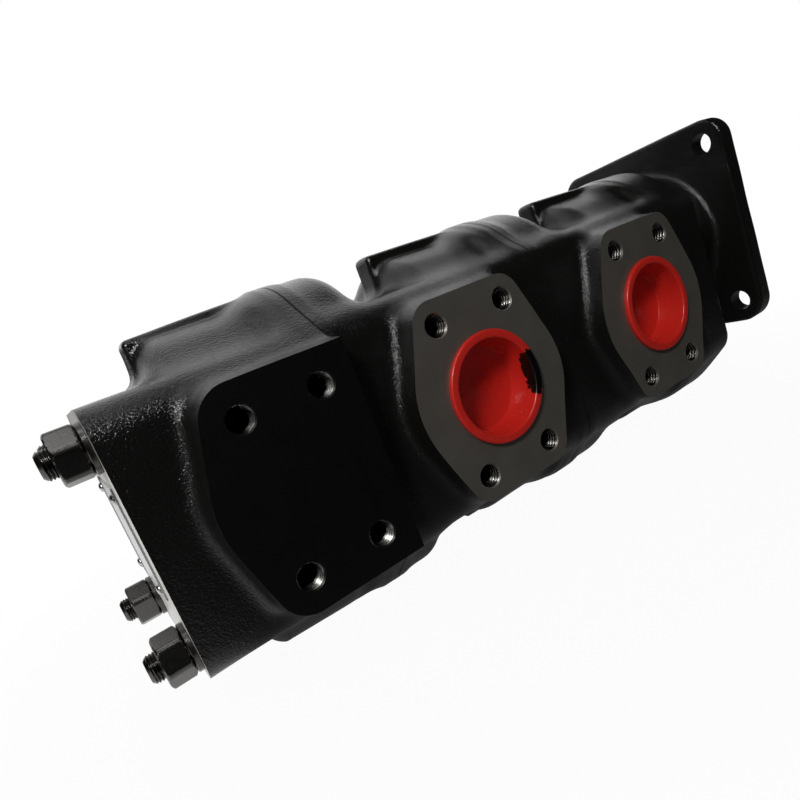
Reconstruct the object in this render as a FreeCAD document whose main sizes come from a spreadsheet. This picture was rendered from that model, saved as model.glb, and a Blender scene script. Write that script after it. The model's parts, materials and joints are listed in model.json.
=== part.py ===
import FreeCAD, Part
import math
import os
import Sketcher

# A three-section external gear pump for hydraulics. The frame has +X along the drive shaft
# towards the engine, -Y towards the inlet side and +Z up. The origin is on the drive shaft's
# axis in the mounting face of the flange, so the pump's body lies on the -X side.

Vector = FreeCAD.Vector
ALONG_X = FreeCAD.Rotation(Vector(0, 1, 0), 90)

doc = FreeCAD.newDocument("GearPump")

# Driving dimensions in millimetres, each with a note
SIZES = (
    ("cover_length", 66.0, "mounting face back to the first parting plane"),
    ("front_length", 134.4, "front housing between its parting planes"),
    ("middle_length", 134.4, "middle housing between its parting planes"),
    ("rear_length", 100.0, "rear housing from its parting plane to the machined rear face"),
    ("gear_centres", 50.8, "distance between the drive axis and the idler axis"),
    ("stud_side", 47.0, "tie studs either side of the shaft plane"),
    ("stud_rise", 45.0, "tie studs above and below the middle plane"),
    ("stud_diameter", 12.7, "tie stud"),
    ("stud_clearance", 0.4, "radial clearance of a stud hole"),
    ("stud_proud", 18.5, "stud tip beyond the rear face"),
    ("stud_grip", 18.0, "stud thread held in the shaft end cover"),
    ("rail_radius", 15.5, "cast rail round a tie stud"),
    ("hump_radius", 59.7, "gear case crest, from a gear axis"),
    ("hump_back", 70.0, "gear case behind its parting plane"),
    ("crest_drop", 2.6, "rear housing's crest lower at its far end"),
    ("cliff_round", 5.0, "rounding at the steep end of a drive gear's case"),
    ("idler_cliff_round", 14.0, "rounding at the steep end of an idler gear's case"),
    ("scoop_depth", 4.8, "lowered flank under the crest"),
    ("scoop_front", 16.0, "lowered flank behind the parting plane, at its top"),
    ("scoop_ramp", 7.0, "slope at its front end, along the shaft"),
    ("scoop_slope", 12.0, "slope at its far end, along the shaft"),
    ("scoop_drop", 5.0, "drop of that slope"),
    ("scoop_near", 8.7, "wall of the rib from the crest line, degrees"),
    ("scoop_far", 62.0, "lowered flank's end from the crest line, degrees"),
    ("middle_nose", 34.0, "bearing dome at the back of the middle housing"),
    ("front_nose", 42.0, "bearing dome at the back of the front housing"),
    ("nose_round", 14.0, "rounding of a bearing dome"),
    ("collar_radius", 60.7, "collar beside a parting plane, from a gear axis"),
    ("collar_back", 13.0, "collar length behind a parting plane"),
    ("collar_front", 15.0, "collar length before a parting plane"),
    ("inlet_place", 65.4, "inlet axis behind its section's parting plane"),
    ("inlet_bore", 50.8, "inlet port bore"),
    ("inlet_pitch_x", 42.88, "inlet bolt pitch along the shaft"),
    ("inlet_pitch_z", 77.77, "inlet bolt pitch across the shaft"),
    ("inlet_disc", 46.0, "inlet boss radius"),
    ("inlet_ear", 12.0, "inlet boss corner radius round a bolt"),
    ("inlet_depth", 46.0, "inlet bore depth from its face"),
    ("port_reach", 76.2, "machined port faces from the shaft plane"),
    ("cast_foot", 0.8, "straight foot of a port boss above the housing's side"),
    ("cast_margin", 5.0, "port boss at its foot wider than the machined face"),
    ("blank_place", 34.2, "blank pad's axis behind its parting plane"),
    ("blank_step", 0.9, "blank pad's face beyond the plane of the port faces"),
    ("blank_pitch_x", 35.71, "blank pad bolt pitch along the shaft"),
    ("blank_pitch_z", 69.85, "blank pad bolt pitch across the shaft"),
    ("blank_disc", 41.0, "blank pad radius"),
    ("blank_ear", 15.0, "blank pad corner radius round a bolt"),
    ("outlet_place", 40.0, "outlet axis behind its section's parting plane"),
    ("outlet_bore", 31.75, "outlet port bore"),
    ("outlet_pitch_x", 30.18, "outlet bolt pitch along the shaft"),
    ("outlet_pitch_z", 58.72, "outlet bolt pitch across the shaft"),
    ("outlet_disc", 34.0, "outlet boss radius"),
    ("outlet_ear", 11.0, "outlet boss corner radius round a bolt"),
    ("outlet_depth", 48.0, "outlet bore depth from its face"),
    ("port_thread", 10.8, "tapping drill of the inlet side port bolts"),
    ("outlet_thread", 9.4, "tapping drill of the outlet side port bolts"),
    ("thread_depth", 19.0, "depth of the tapped holes"),
    ("window_height", 28.0, "cored way from a port into the gear chamber"),
    ("window_inset", 14.2, "inner end of a cored way, from the shaft plane"),
    ("window_margin", 8.0, "cored way inside the ends of the gear chamber"),
    ("gallery_bore", 24.0, "inlet gallery from the middle to the rear section"),
    ("gallery_side", 37.0, "inlet gallery's axis from the shaft plane"),
    ("teeth", 12, "teeth of each gear"),
    ("pressure_angle", 25.0, "pressure angle of the teeth, degrees"),
    ("backlash", 0.16, "tooth thinned by this much"),
    ("tip_clearance", 0.12, "gear tip to chamber wall"),
    ("side_clearance", 0.05, "gear side to thrust plate"),
    ("rear_gear", 38.0, "face width of the rear gears"),
    ("middle_gear", 44.0, "face width of the middle gears"),
    ("front_gear", 44.0, "face width of the front gears"),
    ("plate_thickness", 6.0, "thrust plate"),
    ("plate_clearance", 0.15, "thrust plate to chamber wall"),
    ("plate_seal_width", 2.6, "seal in the back of a thrust plate"),
    ("plate_seal_depth", 1.8, "its depth"),
    ("journal_diameter", 31.75, "shaft journals"),
    ("journal_clearance", 0.04, "journal to bush, radial"),
    ("bush_wall", 2.6, "steel backed bush wall"),
    ("bush_length", 26.0, "bush length"),
    ("bush_recess", 28.0, "depth of a bush bore"),
    ("journal_length", 26.5, "journal beyond the thrust plate"),
    ("spline_teeth", 14, "teeth of the drive spline"),
    ("spline_diameter", 31.2, "drive spline over its teeth"),
    ("spline_depth", 1.9, "drive spline tooth depth"),
    ("spline_length", 44.0, "drive spline length"),
    ("shaft_reach", 56.0, "shaft end beyond the mounting face"),
    ("coupling_teeth", 12, "teeth of a coupling shaft"),
    ("coupling_diameter", 20.0, "coupling shaft over its teeth"),
    ("coupling_depth", 1.5, "coupling tooth depth"),
    ("coupling_grip", 20.0, "coupling shaft inside each gear"),
    ("coupling_clearance", 0.08, "coupling shaft to its socket"),
    ("web_bore", 26.0, "passage through the wall between sections"),
    ("groove_width", 3.0, "section seal groove"),
    ("groove_depth", 2.4, "section seal groove depth"),
    ("groove_margin", 5.0, "section seal outside the gear chamber"),
    ("dowel_diameter", 8.0, "locating dowel"),
    ("dowel_length", 16.0, "locating dowel"),
    ("dowel_side", 25.0, "dowels either side of the shaft plane"),
    ("dowel_rise", 42.0, "dowel beyond a gear axis"),
    ("cover_body", 23.0, "thick part of the shaft end cover"),
    ("cover_round", 4.0, "rounding of the cover towards the flange"),
    ("neck_radius", 50.0, "neck between cover and flange, round the drive axis"),
    ("neck_foot", 34.0, "the neck's lower end, round the idler axis"),
    ("flange_side", 146.0, "square flange"),
    ("flange_thickness", 12.0, "flange"),
    ("flange_corner", 16.0, "flange corner radius"),
    ("flange_pitch", 114.5, "mounting bolt pitch, both ways"),
    ("flange_hole", 14.3, "mounting bolt hole"),
    ("pilot_diameter", 127.0, "mounting pilot"),
    ("pilot_height", 12.7, "mounting pilot"),
    ("seal_diameter", 52.0, "shaft seal"),
    ("seal_thickness", 9.0, "shaft seal"),
    ("ring_thickness", 1.6, "retaining ring of the shaft seal"),
    ("ring_bite", 1.3, "retaining ring groove depth"),
    ("ring_width", 4.0, "retaining ring, radial"),
    ("nut_flats", 19.05, "tie nut across its flats"),
    ("nut_height", 11.1, "tie nut"),
    ("washer_diameter", 27.0, "tie washer"),
    ("washer_thickness", 2.5, "tie washer"),
    ("nameplate_width", 76.0, "bare nameplate, across the shaft"),
    ("nameplate_height", 54.0, "bare nameplate"),
    ("nameplate_thickness", 0.8, "bare nameplate"),
    ("rivet_side", 32.0, "drive screws either side of the shaft plane"),
    ("rivet_rise", 21.5, "drive screws above and below the middle plane"),
    ("rivet_head", 5.2, "drive screw head"),
    ("rivet_proud", 1.5, "drive screw head height"),
    ("rivet_shank", 2.5, "drive screw shank"),
    ("rivet_length", 6.0, "drive screw shank"),
    ("cap_clearance", 0.3, "plastic cap in a port bore"),
    ("cap_wall", 1.7, "plastic cap wall"),
    ("cap_floor", 1.6, "plastic cap floor"),
    ("cap_depth", 17.0, "plastic cap in its bore"),
    ("cap_rim", 2.8, "plastic cap rim, proud of the port face"),
    ("cap_lip", 3.1, "plastic cap rim over the port face"),
)

sheet = doc.addObject("Spreadsheet::Sheet", "Sizes")
for row, (alias, number, note) in enumerate(SIZES, start=1):
    sheet.set(f"A{row}", alias)
    sheet.set(f"B{row}", str(number))
    sheet.set(f"C{row}", note)
    sheet.setAlias(f"B{row}", alias)
doc.recompute()

# Places and radii that several pieces share, as expressions of the driving dimensions
MIDDLE_PLANE = "-Sizes.gear_centres / 2"
IDLER_AXIS = "-Sizes.gear_centres"
FRONT_PLANE = "-Sizes.cover_length"
MIDDLE_PLANE_X = "-Sizes.cover_length - Sizes.front_length"
REAR_PLANE = "-Sizes.cover_length - Sizes.front_length - Sizes.middle_length"
REAR_FACE = "-Sizes.cover_length - Sizes.front_length - Sizes.middle_length - Sizes.rear_length"
MODULE = "Sizes.gear_centres / Sizes.teeth"
TIP_RADIUS = f"(Sizes.gear_centres / 2 + {MODULE})"
CHAMBER_RADIUS = f"({TIP_RADIUS} + Sizes.tip_clearance)"
BUSH_RADIUS = "(Sizes.journal_diameter / 2 + Sizes.journal_clearance + Sizes.bush_wall)"
STUD_HOLE = "(Sizes.stud_diameter / 2 + Sizes.stud_clearance)"
PLATE_RADIUS = f"({CHAMBER_RADIUS} - Sizes.plate_clearance)"
PLATE_BORE = "(Sizes.journal_diameter / 2 + 3 * Sizes.plate_clearance)"
HOUSING_SIDE = "(Sizes.stud_side + Sizes.rail_radius)"
BOSS_FOOT = f"({HOUSING_SIDE} + Sizes.cast_foot)"
BLANK_REACH = "(Sizes.port_reach + Sizes.blank_step)"

# The three pumping sections, from the flange to the rear
SECTIONS = {
    "front": {"plane": FRONT_PLANE, "length": "Sizes.front_length", "gear": "Sizes.front_gear", "drop": "0"},
    "middle": {"plane": MIDDLE_PLANE_X, "length": "Sizes.middle_length", "gear": "Sizes.middle_gear",
               "drop": "0"},
    "rear": {"plane": REAR_PLANE, "length": "Sizes.rear_length", "gear": "Sizes.rear_gear",
             "drop": "Sizes.crest_drop"},
}
for section in SECTIONS.values():
    section["chamber"] = f"({section['gear']} + 2 * Sizes.plate_thickness + 2 * Sizes.side_clearance)"

pieces = []


def value(expression):
    return float(sheet.evalExpression(expression))


def keep(piece, name):
    piece.Label = name
    pieces.append(piece)
    return piece


# Sketch helpers

def new_body(name, x="0"):
    body = doc.addObject("PartDesign::Body", name)
    body.setExpression("Placement.Base.x", x)
    return keep(body, name)


def new_sketch(body, name, plane, out="0", up="0", tilt=0):
    sketch = body.newObject("Sketcher::SketchObject", name)
    sketch.AttachmentOffset = FreeCAD.Placement(Vector(0, 0, 0), FreeCAD.Rotation(Vector(1, 0, 0), tilt))
    for feature in body.Origin.OriginFeatures:
        if feature.Role == plane:
            sketch.AttachmentSupport = [(feature, "")]
    sketch.MapMode = "FlatFace"
    sketch.setExpression("AttachmentOffset.Base.z", out)
    sketch.setExpression("AttachmentOffset.Base.y", up)
    return sketch


def pin_point(sketch, geometry, vertex, x, y):
    for kind, axis, expression in (("DistanceX", -2, x), ("DistanceY", -1, y)):
        if expression == "0":
            sketch.addConstraint(Sketcher.Constraint("PointOnObject", geometry, vertex, axis))
        else:
            rule = Sketcher.Constraint(kind, -1, 1, geometry, vertex, value(expression))
            sketch.setExpression(f"Constraints[{sketch.addConstraint(rule)}]", expression)


def set_radius(sketch, geometry, radius):
    rule = Sketcher.Constraint("Radius", geometry, value(radius))
    sketch.setExpression(f"Constraints[{sketch.addConstraint(rule)}]", radius)


def add_circle(sketch, x, y, radius):
    centre = Vector(value(x), value(y), 0)
    circle = sketch.addGeometry(Part.Circle(centre, Vector(0, 0, 1), value(radius)), False)
    pin_point(sketch, circle, 3, x, y)
    set_radius(sketch, circle, radius)


def add_outline(sketch, corners):
    # A closed outline, anticlockwise: straight lines that join corners of the given radii
    places = [tuple(value(number) for number in corner) for corner in corners]
    count = len(places)
    normals = []
    lines = []
    for index in range(count):
        x1, y1, r1 = places[index]
        x2, y2, r2 = places[(index + 1) % count]
        span = math.hypot(x2 - x1, y2 - y1)
        along = ((x2 - x1) / span, (y2 - y1) / span)
        lean = (r1 - r2) / span
        square = math.sqrt(1 - lean * lean)
        normal = (along[0] * lean + along[1] * square, along[1] * lean - along[0] * square)
        start = Vector(x1 + normal[0] * r1, y1 + normal[1] * r1, 0)
        end = Vector(x2 + normal[0] * r2, y2 + normal[1] * r2, 0)
        normals.append(normal)
        lines.append(sketch.addGeometry(Part.LineSegment(start, end), False))
    for index, (x, y, radius) in enumerate(corners):
        before = lines[index - 1]
        after = lines[index]
        if radius == "0":
            sketch.addConstraint(Sketcher.Constraint("Coincident", before, 2, after, 1))
            pin_point(sketch, after, 1, x, y)
            continue
        first = math.atan2(normals[index - 1][1], normals[index - 1][0])
        last = math.atan2(normals[index][1], normals[index][0])
        if last < first:
            last += 2 * math.pi
        circle = Part.Circle(Vector(places[index][0], places[index][1], 0), Vector(0, 0, 1), places[index][2])
        arc = sketch.addGeometry(Part.ArcOfCircle(circle, first, last), False)
        sketch.addConstraint(Sketcher.Constraint("Tangent", before, 2, arc, 1))
        sketch.addConstraint(Sketcher.Constraint("Tangent", arc, 2, after, 1))
        set_radius(sketch, arc, radius)
        pin_point(sketch, arc, 3, x, y)


def add_feature(body, kind, sketch, length, flipped=False):
    feature = body.newObject(f"PartDesign::{kind}", f"{sketch.Name}{kind}")
    feature.Profile = sketch
    feature.setExpression("Length", length)
    feature.Reversed = flipped
    return feature


def add_revolution(body, sketch, axis):
    feature = body.newObject("PartDesign::Revolution", f"{sketch.Name}Revolution")
    feature.Profile = sketch
    feature.ReferenceAxis = (sketch, [axis])
    feature.Angle = 360
    return feature


def add_sector_groove(body, sketch, axis, span):
    feature = body.newObject("PartDesign::Groove", f"{sketch.Name}Groove")
    feature.Profile = sketch
    feature.ReferenceAxis = (sketch, [axis])
    feature.Midplane = True
    feature.setExpression("Angle", span)
    return feature


def four_corners(x, y, radius):
    return [(f"-{x}", f"-{y}", radius), (x, f"-{y}", radius), (x, y, radius), (f"-{x}", y, radius)]


def add_four_circles(sketch, x, y, radius):
    for corner in four_corners(x, y, radius):
        add_circle(sketch, *corner)


# The castings

def collar_corners(radius="Sizes.collar_radius"):
    rise = "(Sizes.gear_centres / 2)"
    rail = four_corners("Sizes.stud_side", "Sizes.stud_rise", "Sizes.rail_radius")
    return [("0", f"-{rise}", radius), rail[1], rail[2], ("0", rise, radius), rail[3], rail[0]]


def boss_corners(centre, pitch_x, pitch_z, disc, ear):
    left = f"({centre} - {pitch_x} / 2)"
    right = f"({centre} + {pitch_x} / 2)"
    top = f"{pitch_z} / 2"
    return [(right, f"-{top}", ear), (centre, "0", disc), (right, top, ear),
            (left, top, ear), (centre, "0", disc), (left, f"-{top}", ear)]


def cut_scoops(body, name):
    # The flanks of the gear cases are lowered beside a rib along the crest
    floor = "(Sizes.hump_radius - Sizes.scoop_depth)"
    open_side = "(Sizes.hump_radius + 1)"
    back = "-(Sizes.hump_back + 1)"
    leaning = value("(Sizes.scoop_near + Sizes.scoop_far) / 2")
    for axis_name, drop, upright in (("drive", "0", 0), ("idler", IDLER_AXIS, 180)):
        for side_name, side in (("inlet", 1), ("outlet", -1)):
            scoop = new_sketch(body, f"{name}_{axis_name}_{side_name}_scoop", "XZ_Plane", up=drop,
                               tilt=upright + side * leaning)
            add_outline(scoop, [(back, f"{floor} - Sizes.scoop_drop", "0"),
                                ("-Sizes.hump_back + Sizes.scoop_slope", floor, "0"),
                                ("-Sizes.scoop_front - Sizes.scoop_ramp", floor, "0"),
                                ("-Sizes.scoop_front", open_side, "0"), (back, open_side, "0")])
            add_sector_groove(body, scoop, "H_Axis", "Sizes.scoop_far - Sizes.scoop_near")


def add_gear_case(body, name, section):
    # Gear cases round both gear axes, rails round the studs and a collar at the parting plane
    for axis_name, drop, soft in (("drive", "0", "Sizes.cliff_round"),
                                  ("idler", IDLER_AXIS, "Sizes.idler_cliff_round")):
        crest = new_sketch(body, f"{name}_{axis_name}_crest", "XZ_Plane", up=drop)
        end = f"(Sizes.hump_radius - {section['drop']} - {soft})"
        add_outline(crest, [("-Sizes.hump_back", "0", "0"), ("0", "0", "0"), ("0", "Sizes.hump_radius", "0"),
                            (f"-Sizes.hump_back + {soft}", end, soft)])
        add_revolution(body, crest, "H_Axis")
    cut_scoops(body, name)
    rails = new_sketch(body, f"{name}_rails", "YZ_Plane", up=MIDDLE_PLANE)
    add_outline(rails, four_corners("Sizes.stud_side", "Sizes.stud_rise", "Sizes.rail_radius"))
    add_feature(body, "Pad", rails, section["length"], flipped=True)
    collar = new_sketch(body, f"{name}_collar", "YZ_Plane", up=MIDDLE_PLANE)
    add_outline(collar, collar_corners())
    add_feature(body, "Pad", collar, "Sizes.collar_back", flipped=True)


def add_bearing_dome(body, name, section, nose):
    # The back of a housing carries the front bearings of the section behind it
    back = f"-{section['length']}"
    for axis_name, drop in (("drive", "0"), ("idler", IDLER_AXIS)):
        dome = new_sketch(body, f"{name}_{axis_name}_dome", "XZ_Plane", up=drop)
        end = f"{back} + {nose}"
        top = "Sizes.hump_radius - Sizes.nose_round"
        add_outline(dome, [(back, "0", "0"), (end, "0", "0"),
                           (f"{end} - Sizes.nose_round", top, "Sizes.nose_round"),
                           (back, "Sizes.hump_radius", "0")])
        add_revolution(body, dome, "H_Axis")
    collar = new_sketch(body, f"{name}_back_collar", "YZ_Plane", out=back, up=MIDDLE_PLANE)
    add_outline(collar, collar_corners())
    add_feature(body, "Pad", collar, "Sizes.collar_front")


def add_port_boss(body, name, centre, port, far_side):
    # A boss with a straight foot and a drafted flank up to its machined face
    disc = f"(Sizes.{port}_disc + Sizes.cast_margin)"
    ear = f"(Sizes.{port}_ear + Sizes.cast_margin)"
    side = f"-{BOSS_FOOT}" if far_side else BOSS_FOOT
    boss = new_sketch(body, f"{name}_{port}_boss", "XZ_Plane", out=side, up=MIDDLE_PLANE)
    add_outline(boss, boss_corners(centre, f"Sizes.{port}_pitch_x", f"Sizes.{port}_pitch_z", disc, ear))
    add_feature(body, "Pad", boss, BOSS_FOOT, flipped=not far_side)
    flank = add_feature(body, "Pad", boss, f"Sizes.port_reach - {BOSS_FOOT}", flipped=far_side)
    flank.setExpression("TaperAngle", f"-atan(Sizes.cast_margin / (Sizes.port_reach - {BOSS_FOOT}))")


def cut_tapped_holes(body, name, centre, port, reach, thread, far_side):
    side = f"-{reach}" if far_side else reach
    holes = new_sketch(body, f"{name}_{port}_bolts", "XZ_Plane", out=side, up=MIDDLE_PLANE)
    for x_sign in ("-", "+"):
        for z_sign in ("-", ""):
            x = f"{centre} {x_sign} Sizes.{port}_pitch_x / 2"
            add_circle(holes, x, f"{z_sign}Sizes.{port}_pitch_z / 2", f"{thread} / 2")
    add_feature(body, "Pocket", holes, "Sizes.thread_depth", flipped=far_side)


def cut_port_bore(body, name, centre, port, far_side):
    side = "-Sizes.port_reach" if far_side else "Sizes.port_reach"
    bore = new_sketch(body, f"{name}_{port}_bore", "XZ_Plane", out=side, up=MIDDLE_PLANE)
    add_circle(bore, centre, "0", f"Sizes.{port}_bore / 2")
    add_feature(body, "Pocket", bore, f"Sizes.{port}_depth", flipped=far_side)


def cut_window(body, name, section, far_side):
    # The cored way between a port and the mesh of the gears
    side = "-Sizes.window_inset" if far_side else "Sizes.window_inset"
    way_name = f"{name}_outlet_way" if far_side else f"{name}_inlet_way"
    way = new_sketch(body, way_name, "XZ_Plane", out=side, up=MIDDLE_PLANE)
    back = f"-{section['chamber']} + Sizes.window_margin"
    half = "Sizes.window_height / 2"
    add_outline(way, [(back, f"-{half}", "0"), ("-Sizes.window_margin", f"-{half}", "0"),
                      ("-Sizes.window_margin", half, "0"), (back, half, "0")])
    length = "Sizes.gallery_side + Sizes.gallery_bore / 2 - Sizes.window_inset - 1"
    if far_side:
        length = "Sizes.port_reach - Sizes.outlet_depth + 10 - Sizes.window_inset"
    add_feature(body, "Pocket", way, length, flipped=not far_side)


def cut_gear_chamber(body, name, section):
    chamber = section["chamber"]
    for axis_name, height in (("drive", "0"), ("idler", IDLER_AXIS)):
        room = new_sketch(body, f"{name}_{axis_name}_chamber", "YZ_Plane")
        add_circle(room, "0", height, CHAMBER_RADIUS)
        add_feature(body, "Pocket", room, chamber)
    bushes = new_sketch(body, f"{name}_back_bushes", "YZ_Plane", out=f"-{chamber}")
    add_circle(bushes, "0", "0", BUSH_RADIUS)
    add_circle(bushes, "0", IDLER_AXIS, BUSH_RADIUS)
    add_feature(body, "Pocket", bushes, "Sizes.bush_recess")


def seal_corners(offset, with_gallery):
    radius = f"({CHAMBER_RADIUS} + Sizes.groove_margin + {offset})"
    corners = [("0", IDLER_AXIS, radius), ("0", "0", radius)]
    if with_gallery:
        gallery = f"(Sizes.gallery_bore / 2 + Sizes.groove_margin / 2 + {offset})"
        corners.append(("-Sizes.gallery_side", MIDDLE_PLANE, gallery))
    return corners


def cut_parting_face(body, name, section, with_gallery):
    groove = new_sketch(body, f"{name}_groove", "YZ_Plane")
    add_outline(groove, seal_corners("Sizes.groove_width", with_gallery))
    add_outline(groove, seal_corners("0", with_gallery))
    add_feature(body, "Pocket", groove, "Sizes.groove_depth")
    studs = new_sketch(body, f"{name}_studs", "YZ_Plane", up=MIDDLE_PLANE)
    add_four_circles(studs, "Sizes.stud_side", "Sizes.stud_rise", STUD_HOLE)
    add_feature(body, "Pocket", studs, section["length"])
    cut_dowel_holes(body, f"{name}_front", "0", False)


def cut_dowel_holes(body, name, x, forward):
    dowels = new_sketch(body, f"{name}_dowels", "YZ_Plane", out=x)
    add_circle(dowels, "-Sizes.dowel_side", "Sizes.dowel_rise", "Sizes.dowel_diameter / 2")
    add_circle(dowels, "Sizes.dowel_side", f"{IDLER_AXIS} - Sizes.dowel_rise", "Sizes.dowel_diameter / 2")
    add_feature(body, "Pocket", dowels, "Sizes.dowel_length / 2", flipped=forward)


def cut_back_bearings(body, name, x):
    # Bush bores that open towards the section behind
    bushes = new_sketch(body, f"{name}_front_bushes", "YZ_Plane", out=x)
    add_circle(bushes, "0", "0", BUSH_RADIUS)
    add_circle(bushes, "0", IDLER_AXIS, BUSH_RADIUS)
    add_feature(body, "Pocket", bushes, "Sizes.bush_recess", flipped=True)
    cut_dowel_holes(body, f"{name}_back", x, True)


def cut_gallery(body, name, x, length, forward):
    gallery = new_sketch(body, f"{name}_gallery", "YZ_Plane", out=x, up=MIDDLE_PLANE)
    add_circle(gallery, "-Sizes.gallery_side", "0", "Sizes.gallery_bore / 2")
    add_feature(body, "Pocket", gallery, length, flipped=forward)


def make_ported_housing(name, section, nose, with_gallery):
    body = new_body(name, section["plane"])
    add_gear_case(body, name, section)
    add_bearing_dome(body, name, section, nose)
    add_port_boss(body, name, "-Sizes.inlet_place", "inlet", False)
    add_port_boss(body, name, "-Sizes.outlet_place", "outlet", True)
    cut_gear_chamber(body, name, section)
    cut_window(body, name, section, False)
    cut_window(body, name, section, True)
    cut_port_bore(body, name, "-Sizes.inlet_place", "inlet", False)
    cut_port_bore(body, name, "-Sizes.outlet_place", "outlet", True)
    cut_tapped_holes(body, name, "-Sizes.inlet_place", "inlet", "Sizes.port_reach", "Sizes.port_thread", False)
    cut_tapped_holes(body, name, "-Sizes.outlet_place", "outlet", "Sizes.port_reach", "Sizes.outlet_thread", True)
    cut_parting_face(body, name, section, False)
    back = f"-{section['length']}"
    cut_back_bearings(body, name, back)
    web = new_sketch(body, f"{name}_web", "YZ_Plane", out=f"-{section['chamber']} - Sizes.bush_recess / 2")
    add_circle(web, "0", "0", "Sizes.web_bore / 2")
    add_feature(body, "Pocket", web, f"{section['length']} - {section['chamber']} - Sizes.bush_recess")
    if with_gallery:
        cut_gallery(body, name, back, f"{section['length']} - Sizes.inlet_place", True)
    return body


def make_rear_housing():
    name = "rear_housing"
    section = SECTIONS["rear"]
    body = new_body(name, section["plane"])
    add_gear_case(body, name, section)
    pad = new_sketch(body, f"{name}_blank_pad", "XZ_Plane", up=MIDDLE_PLANE)
    left = "-Sizes.blank_place - Sizes.blank_pitch_x / 2"
    top = "Sizes.blank_pitch_z / 2"
    edge = f"({top} + Sizes.blank_ear)"
    add_outline(pad, [("0", f"-{edge}", "0"), ("0", edge, "0"), (left, top, "Sizes.blank_ear"),
                      ("-Sizes.blank_place", "0", "Sizes.blank_disc"), (left, f"-{top}", "Sizes.blank_ear")])
    add_feature(body, "Pad", pad, BLANK_REACH)
    add_port_boss(body, name, "-Sizes.outlet_place", "outlet", True)
    cut_gear_chamber(body, name, section)
    cut_window(body, name, section, False)
    cut_window(body, name, section, True)
    cut_port_bore(body, name, "-Sizes.outlet_place", "outlet", True)
    cut_tapped_holes(body, name, "-Sizes.blank_place", "blank", BLANK_REACH, "Sizes.port_thread", False)
    cut_tapped_holes(body, name, "-Sizes.outlet_place", "outlet", "Sizes.port_reach", "Sizes.outlet_thread", True)
    cut_parting_face(body, name, section, True)
    cut_gallery(body, name, "0", f"{section['chamber']} - Sizes.window_margin", False)
    rivets = new_sketch(body, "rear_housing_rivets", "YZ_Plane", out=f"-{section['length']}", up=MIDDLE_PLANE)
    add_four_circles(rivets, "Sizes.rivet_side", "Sizes.rivet_rise", "Sizes.rivet_shank / 2")
    add_feature(body, "Pocket", rivets, "Sizes.rivet_length", flipped=True)
    return body


def make_cover():
    # The shaft end cover with its mounting flange and pilot
    name = "shaft_end_cover"
    body = new_body(name)
    block = new_sketch(body, "cover_block", "YZ_Plane", out=FRONT_PLANE, up=MIDDLE_PLANE)
    add_outline(block, collar_corners())
    thick = add_feature(body, "Pad", block, "Sizes.cover_body")
    doc.recompute()
    front = value("Sizes.cover_body - Sizes.cover_length")
    edges = [f"Edge{index}" for index, edge in enumerate(thick.Shape.Edges, start=1)
             if all(abs(vertex.X - front) < 0.01 for vertex in edge.Vertexes)]
    soft = body.newObject("PartDesign::Fillet", "cover_soft_edge")
    soft.Base = (thick, edges)
    soft.setExpression("Radius", "Sizes.cover_round")
    neck = new_sketch(body, "cover_neck", "YZ_Plane", out=FRONT_PLANE)
    add_outline(neck, [("0", IDLER_AXIS, "Sizes.neck_foot"), ("0", "0", "Sizes.neck_radius")])
    add_feature(body, "Pad", neck, "Sizes.cover_length")
    flange = new_sketch(body, "cover_flange", "YZ_Plane")
    middle = "(Sizes.flange_side / 2 - Sizes.flange_corner)"
    add_outline(flange, four_corners(middle, middle, "Sizes.flange_corner"))
    add_feature(body, "Pad", flange, "Sizes.flange_thickness", flipped=True)
    pilot = new_sketch(body, "cover_pilot", "YZ_Plane")
    add_circle(pilot, "0", "0", "Sizes.pilot_diameter / 2")
    add_feature(body, "Pad", pilot, "Sizes.pilot_height")
    bolts = new_sketch(body, "cover_bolts", "YZ_Plane")
    add_four_circles(bolts, "Sizes.flange_pitch / 2", "Sizes.flange_pitch / 2", "Sizes.flange_hole / 2")
    add_feature(body, "Pocket", bolts, "Sizes.flange_thickness")
    cut_back_bearings(body, "cover", FRONT_PLANE)
    studs = new_sketch(body, "cover_studs", "YZ_Plane", out=FRONT_PLANE, up=MIDDLE_PLANE)
    add_four_circles(studs, "Sizes.stud_side", "Sizes.stud_rise", "Sizes.stud_diameter / 2")
    add_feature(body, "Pocket", studs, "Sizes.stud_grip", flipped=True)
    passage = new_sketch(body, "cover_passage", "YZ_Plane", out="Sizes.pilot_height")
    add_circle(passage, "0", "0", PLATE_BORE)
    add_feature(body, "Pocket", passage, "Sizes.pilot_height + Sizes.cover_length - Sizes.bush_recess / 2")
    seat = new_sketch(body, "cover_seal_seat", "YZ_Plane", out="Sizes.pilot_height")
    add_circle(seat, "0", "0", "Sizes.seal_diameter / 2")
    add_feature(body, "Pocket", seat, "Sizes.seal_thickness + 2 * Sizes.ring_thickness")
    groove = new_sketch(body, "cover_ring_groove", "YZ_Plane", out="Sizes.pilot_height - Sizes.ring_thickness")
    add_circle(groove, "0", "0", "Sizes.seal_diameter / 2 + Sizes.ring_bite")
    add_feature(body, "Pocket", groove, "Sizes.ring_thickness")
    return body


# Simple turned and flat pieces, made from primitives

def cylinder(name, x, y, z, radius, length):
    rod = doc.addObject("Part::Cylinder", name)
    rod.Placement = FreeCAD.Placement(Vector(0, 0, 0), ALONG_X)
    rod.setExpression("Placement.Base.x", x)
    rod.setExpression("Placement.Base.y", y)
    rod.setExpression("Placement.Base.z", z)
    rod.setExpression("Radius", radius)
    rod.setExpression("Height", length)
    return rod


def cut(name, base, tool):
    result = doc.addObject("Part::Cut", name)
    result.Base = base
    result.Tool = tool
    return result


def fuse(name, shapes):
    result = doc.addObject("Part::MultiFuse", name)
    result.Shapes = shapes
    return result


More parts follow.
